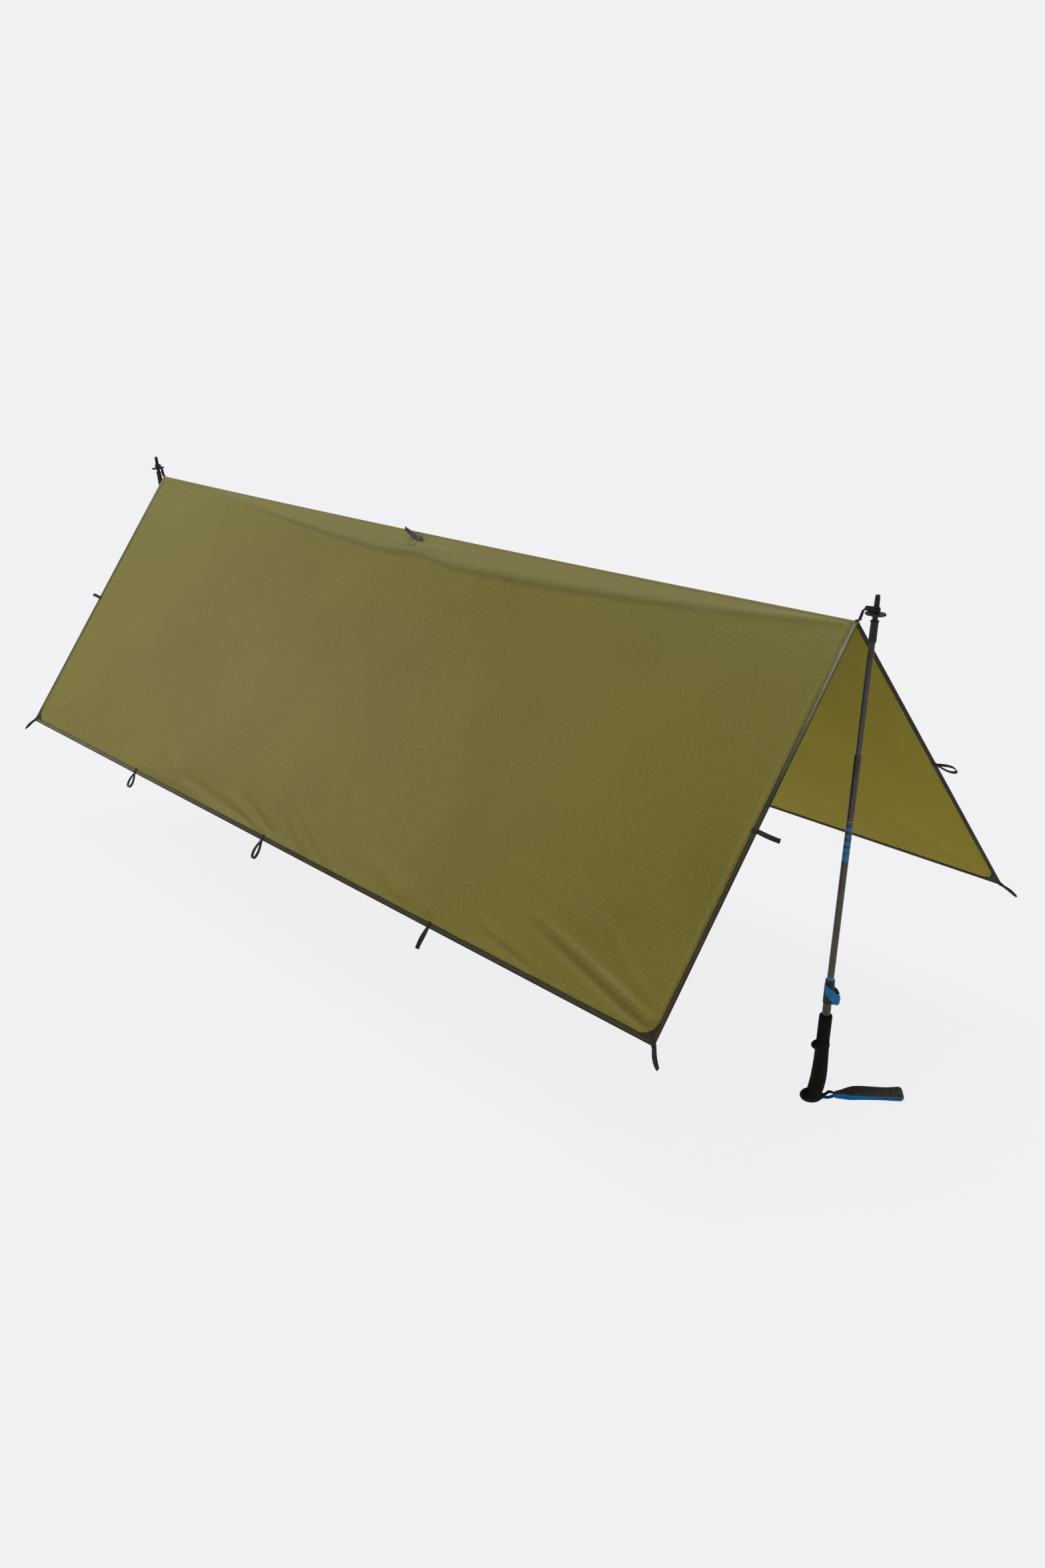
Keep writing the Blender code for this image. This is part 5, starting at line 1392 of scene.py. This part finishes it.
def spacer_mesh_look():
    """Knitted spacer mesh: black, a little shiny, with small round holes about 2 mm apart."""
    look, tree = new_look("spacer_mesh", Roughness=0.42, Specular_IOR_Level=0.6)
    uv = add_node(tree, "ShaderNodeUVMap", uv_map="UVMap").outputs[0]
    holes = {"Vector": uv, "Scale": 480.0, "Randomness": 0.25}
    middle = add_node(tree, "ShaderNodeTexVoronoi", holes, feature="F1").outputs["Distance"]
    rim = {"Value": middle, "From Min": 0.15, "From Max": 0.5}
    rim = add_node(tree, "ShaderNodeMapRange", rim).outputs[0]
    holes = add_node(tree, "ShaderNodeBump", {"Height": rim, "Strength": 0.6, "Distance": 0.0004}).outputs[0]
    wrinkle = {"Vector": uv, "Scale": 70.0, "Detail": 2.0, "Distortion": 0.6}
    wrinkle = add_node(tree, "ShaderNodeTexNoise", wrinkle).outputs["Fac"]
    creased = {"Height": wrinkle, "Strength": 0.7, "Distance": 0.0035, "Normal": holes}
    # The middles of the holes are painted darker, for the shade inside them.
    colour = {SHARE: rim, FIRST: srgb("#08080a"), SECOND: srgb("#242226")}
    colour = add_node(tree, "ShaderNodeMix", colour, data_type="RGBA").outputs[MIXED]
    return set_look(look, Base_Color=colour, Normal=add_node(tree, "ShaderNodeBump", creased).outputs[0])


SPACER_MESH = spacer_mesh_look()


def racetrack(start, end, height, count):
    """Points and outward ways round a long closed path with round ends."""
    radius = height / 2
    straight, bend = end - start - height, math.pi * radius
    total = 2 * (straight + bend)
    made = []
    for i in range(count):
        s = total * i / count
        # The lower half is the upper one turned round.
        hand, first = (1, start + radius) if s < straight + bend else (-1, end - radius)
        s -= 0.0 if hand > 0 else straight + bend
        a = math.pi / 2 - max(s - straight, 0.0) / radius
        way = (hand * math.cos(a), hand * math.sin(a))
        made.append((first + hand * min(s, straight) + radius * way[0], radius * way[1], *way))
    return made, total


def swept_band(name, path, total, half_width, thickness, looks, bend, axes, which, columns=64):
    """A rounded flat section swept round a closed path in the strap's x and z."""
    rows = []
    for x, z, nx, nz in path:
        wide, shift, lift, rolled = bend(x, z)
        cos, sin = math.cos(rolled), math.sin(rolled)
        line = []
        for a in around(columns):
            y = half_width * wide * bulge(math.cos(a), 0.55)
            h = thickness / 2 * bulge(math.sin(a), 0.7)
            up = z + h * nz
            line.append((x + h * nx, y * cos - up * sin + shift, y * sin + up * cos + lift))
        rows.append(line)
    rows.append(rows[0])
    across = 4 * half_width * np.arange(columns + 1) / columns
    mesh = grid_mesh(rows, across, total * np.arange(len(rows)) / len(path), closed=True)
    mend(mesh, 1e-7)
    slots = [which(*face.center, face.normal) for face in mesh.polygons]
    mesh.transform(axes)
    return finish_mesh(name, mesh, looks, slots)


def pad_share(x):
    return (x - PAD_LENGTH[0]) / (PAD_LENGTH[1] - PAD_LENGTH[0])


def pad_lift(share):
    return 0.0012 * (1 - smooth(share / 0.2)) + 0.0052 * smooth(share / 0.40) + 0.0012 * smooth((share - 0.75) / 0.25)


def pad_bend(x, z):
    """Width share, sideways shift, lift and roll of the pad along its length."""
    share = float(np.clip(pad_share(x), 0, 1))
    wide = 0.40 + 0.60 * smooth(share / 0.30) - 0.10 * smooth((share - 0.35) / 0.4)
    wide += 0.12 * smooth((share - 0.72) / 0.25)
    shift = 0.0022 * math.sin(math.pi * (share * 1.35 + 0.15)) - 0.0130 * share**1.3
    squeeze = 0.40 * (1 - smooth(share / 0.22)) + 0.08 * math.sin(math.pi * share)
    return wide, shift, pad_lift(share) - z * squeeze, PAD_ROLL * smooth(share / 0.40)


def pad_side(x, y, z, normal):
    """0 is the mesh on top, 1 the lining that shows along the lower side and thins towards the end."""
    share = pad_share(x)
    border = pad_lift(share) + np.interp(share, *LINING_BORDER)
    return 1 if z < border + 0.0004 * math.sin(share * 40) else 0


def ring_rise(x):
    return 0.0030 * smooth((x - 0.010) / 0.010)


def ring_side(x, y, z, normal):
    """0 is the webbing outside, 1 the blue lining on the ring's inner face."""
    return 1 if (x - RING_MIDDLE) * normal[0] + (z - ring_rise(x)) * normal[2] < 0 else 0


def ring_path(count=72):
    path = []
    for a in around(count):
        x = RING_MIDDLE + RING_REACH * math.cos(a)
        half = 0.0036 + 0.0034 * smooth((x - 0.010) / 0.008)
        path.append((x, half * bulge(math.sin(a), 0.7) + ring_rise(x), math.cos(a) * 0.8, math.sin(a)))
    return path, count * 0.00105


def make_strap(end, axes):
    straight = racetrack(PAD_LENGTH[0] + PAD_THICKNESS / 2, PAD_LENGTH[1] - PAD_THICKNESS / 2, 0.0096, 300)
    looks = [SPACER_MESH, LINING_BLUE]
    pad = swept_band(end + "_padded_strap", *straight, 0.0150, PAD_THICKNESS, looks, pad_bend, axes, pad_side)
    settle(pad, end + "_pole_wrist_strap", end + "_pole_strap")
    looks = [WEBBING_LOOK, LINING_BLUE]
    ring = swept_band(
        end + "_strap_ring", *ring_path(), 0.0060, 0.0020, looks, lambda x, z: (1.0, 0.0, 0.0, 0.0), axes, ring_side
    )
    return pad, settle(ring, None, end + "_pole_strap")


for end, turn in ENDS.items():
    strap = make_strap(end, turn @ STRAP_AXES)
    print(end, "strap", [triangles(o) for o in strap], "triangles")

# %% [markdown]
# ## Ridge end loops
# At each end of the ridge a loop of webbing is sewn into the seam. It lies flat on the ridge, turns up
# beside the basket, and its two sides twist upright as they go round the tip. It is two mirrored
# strips from the seam to the far side of the tip, and each point stores which way it faces.

# %% Ridge end loops
TIP_RING = FOOT + pole_up * 1.1056  # where the loop goes round the tip
TIP_RING_RADIUS = 0.0080


def make_ridge_end_loop(end, turn):
    chains, facings = [], []
    matrix = np.array(turn)[:3, :3]
    for hand in (1, -1):
        stations = [  # place, and the way across the webbing's width
            (1.4930, 0.0, RIDGE_Z + 0.0026, 0, 1, 0),
            (1.4985, 0.0, RIDGE_Z + 0.0026, 0, 1, 0),
            (1.5022, 0.0, RIDGE_Z + 0.0048, 0, 1, 0),
            (1.5045, 0.0002 * hand, RIDGE_Z + 0.0110, 0, 1, 0),
            (1.5078, 0.0004 * hand, RIDGE_Z + 0.0195, 0, 1, 0),
            (1.5112, 0.0006 * hand, RIDGE_Z + 0.0275, 0, 0.9, 0.3),
            (1.5165, 0.0016 * hand, TIP_RING.z - 0.0010, 0, 0.4, 0.9),
            (1.5250, 0.0042 * hand + TIP_RING.y, TIP_RING.z - 0.0002, 0, 0, 1),
        ]
        for a in np.radians(np.linspace(118, 0, 9)):
            x, y = TIP_RING_RADIUS * math.cos(a), hand * TIP_RING_RADIUS * math.sin(a)
            stations.append((TIP_RING.x + x, TIP_RING.y + y, TIP_RING.z, 0, 0, 1))
        rows = smooth_path(stations, 4)
        facing = unit(np.cross(np.gradient(rows[:, :3], axis=0), rows[:, 3:]))
        # The two strips lie beside one another on the ridge.
        points = rows[:, :3] + facing * 0.0007 * hand * np.linspace(1, 0, len(rows))[:, None]
        chains.append(points @ matrix.T)
        facings.append(facing @ matrix.T)
    made = webbing(end + "_ridge_end_webbing", chains, facings, width=0.0088)
    return settle(made, end + "_ridge_loop", end + "_pole_lower")


for end, turn in ENDS.items():
    print(end, "ridge loop", triangles(make_ridge_end_loop(end, turn)), "triangles")
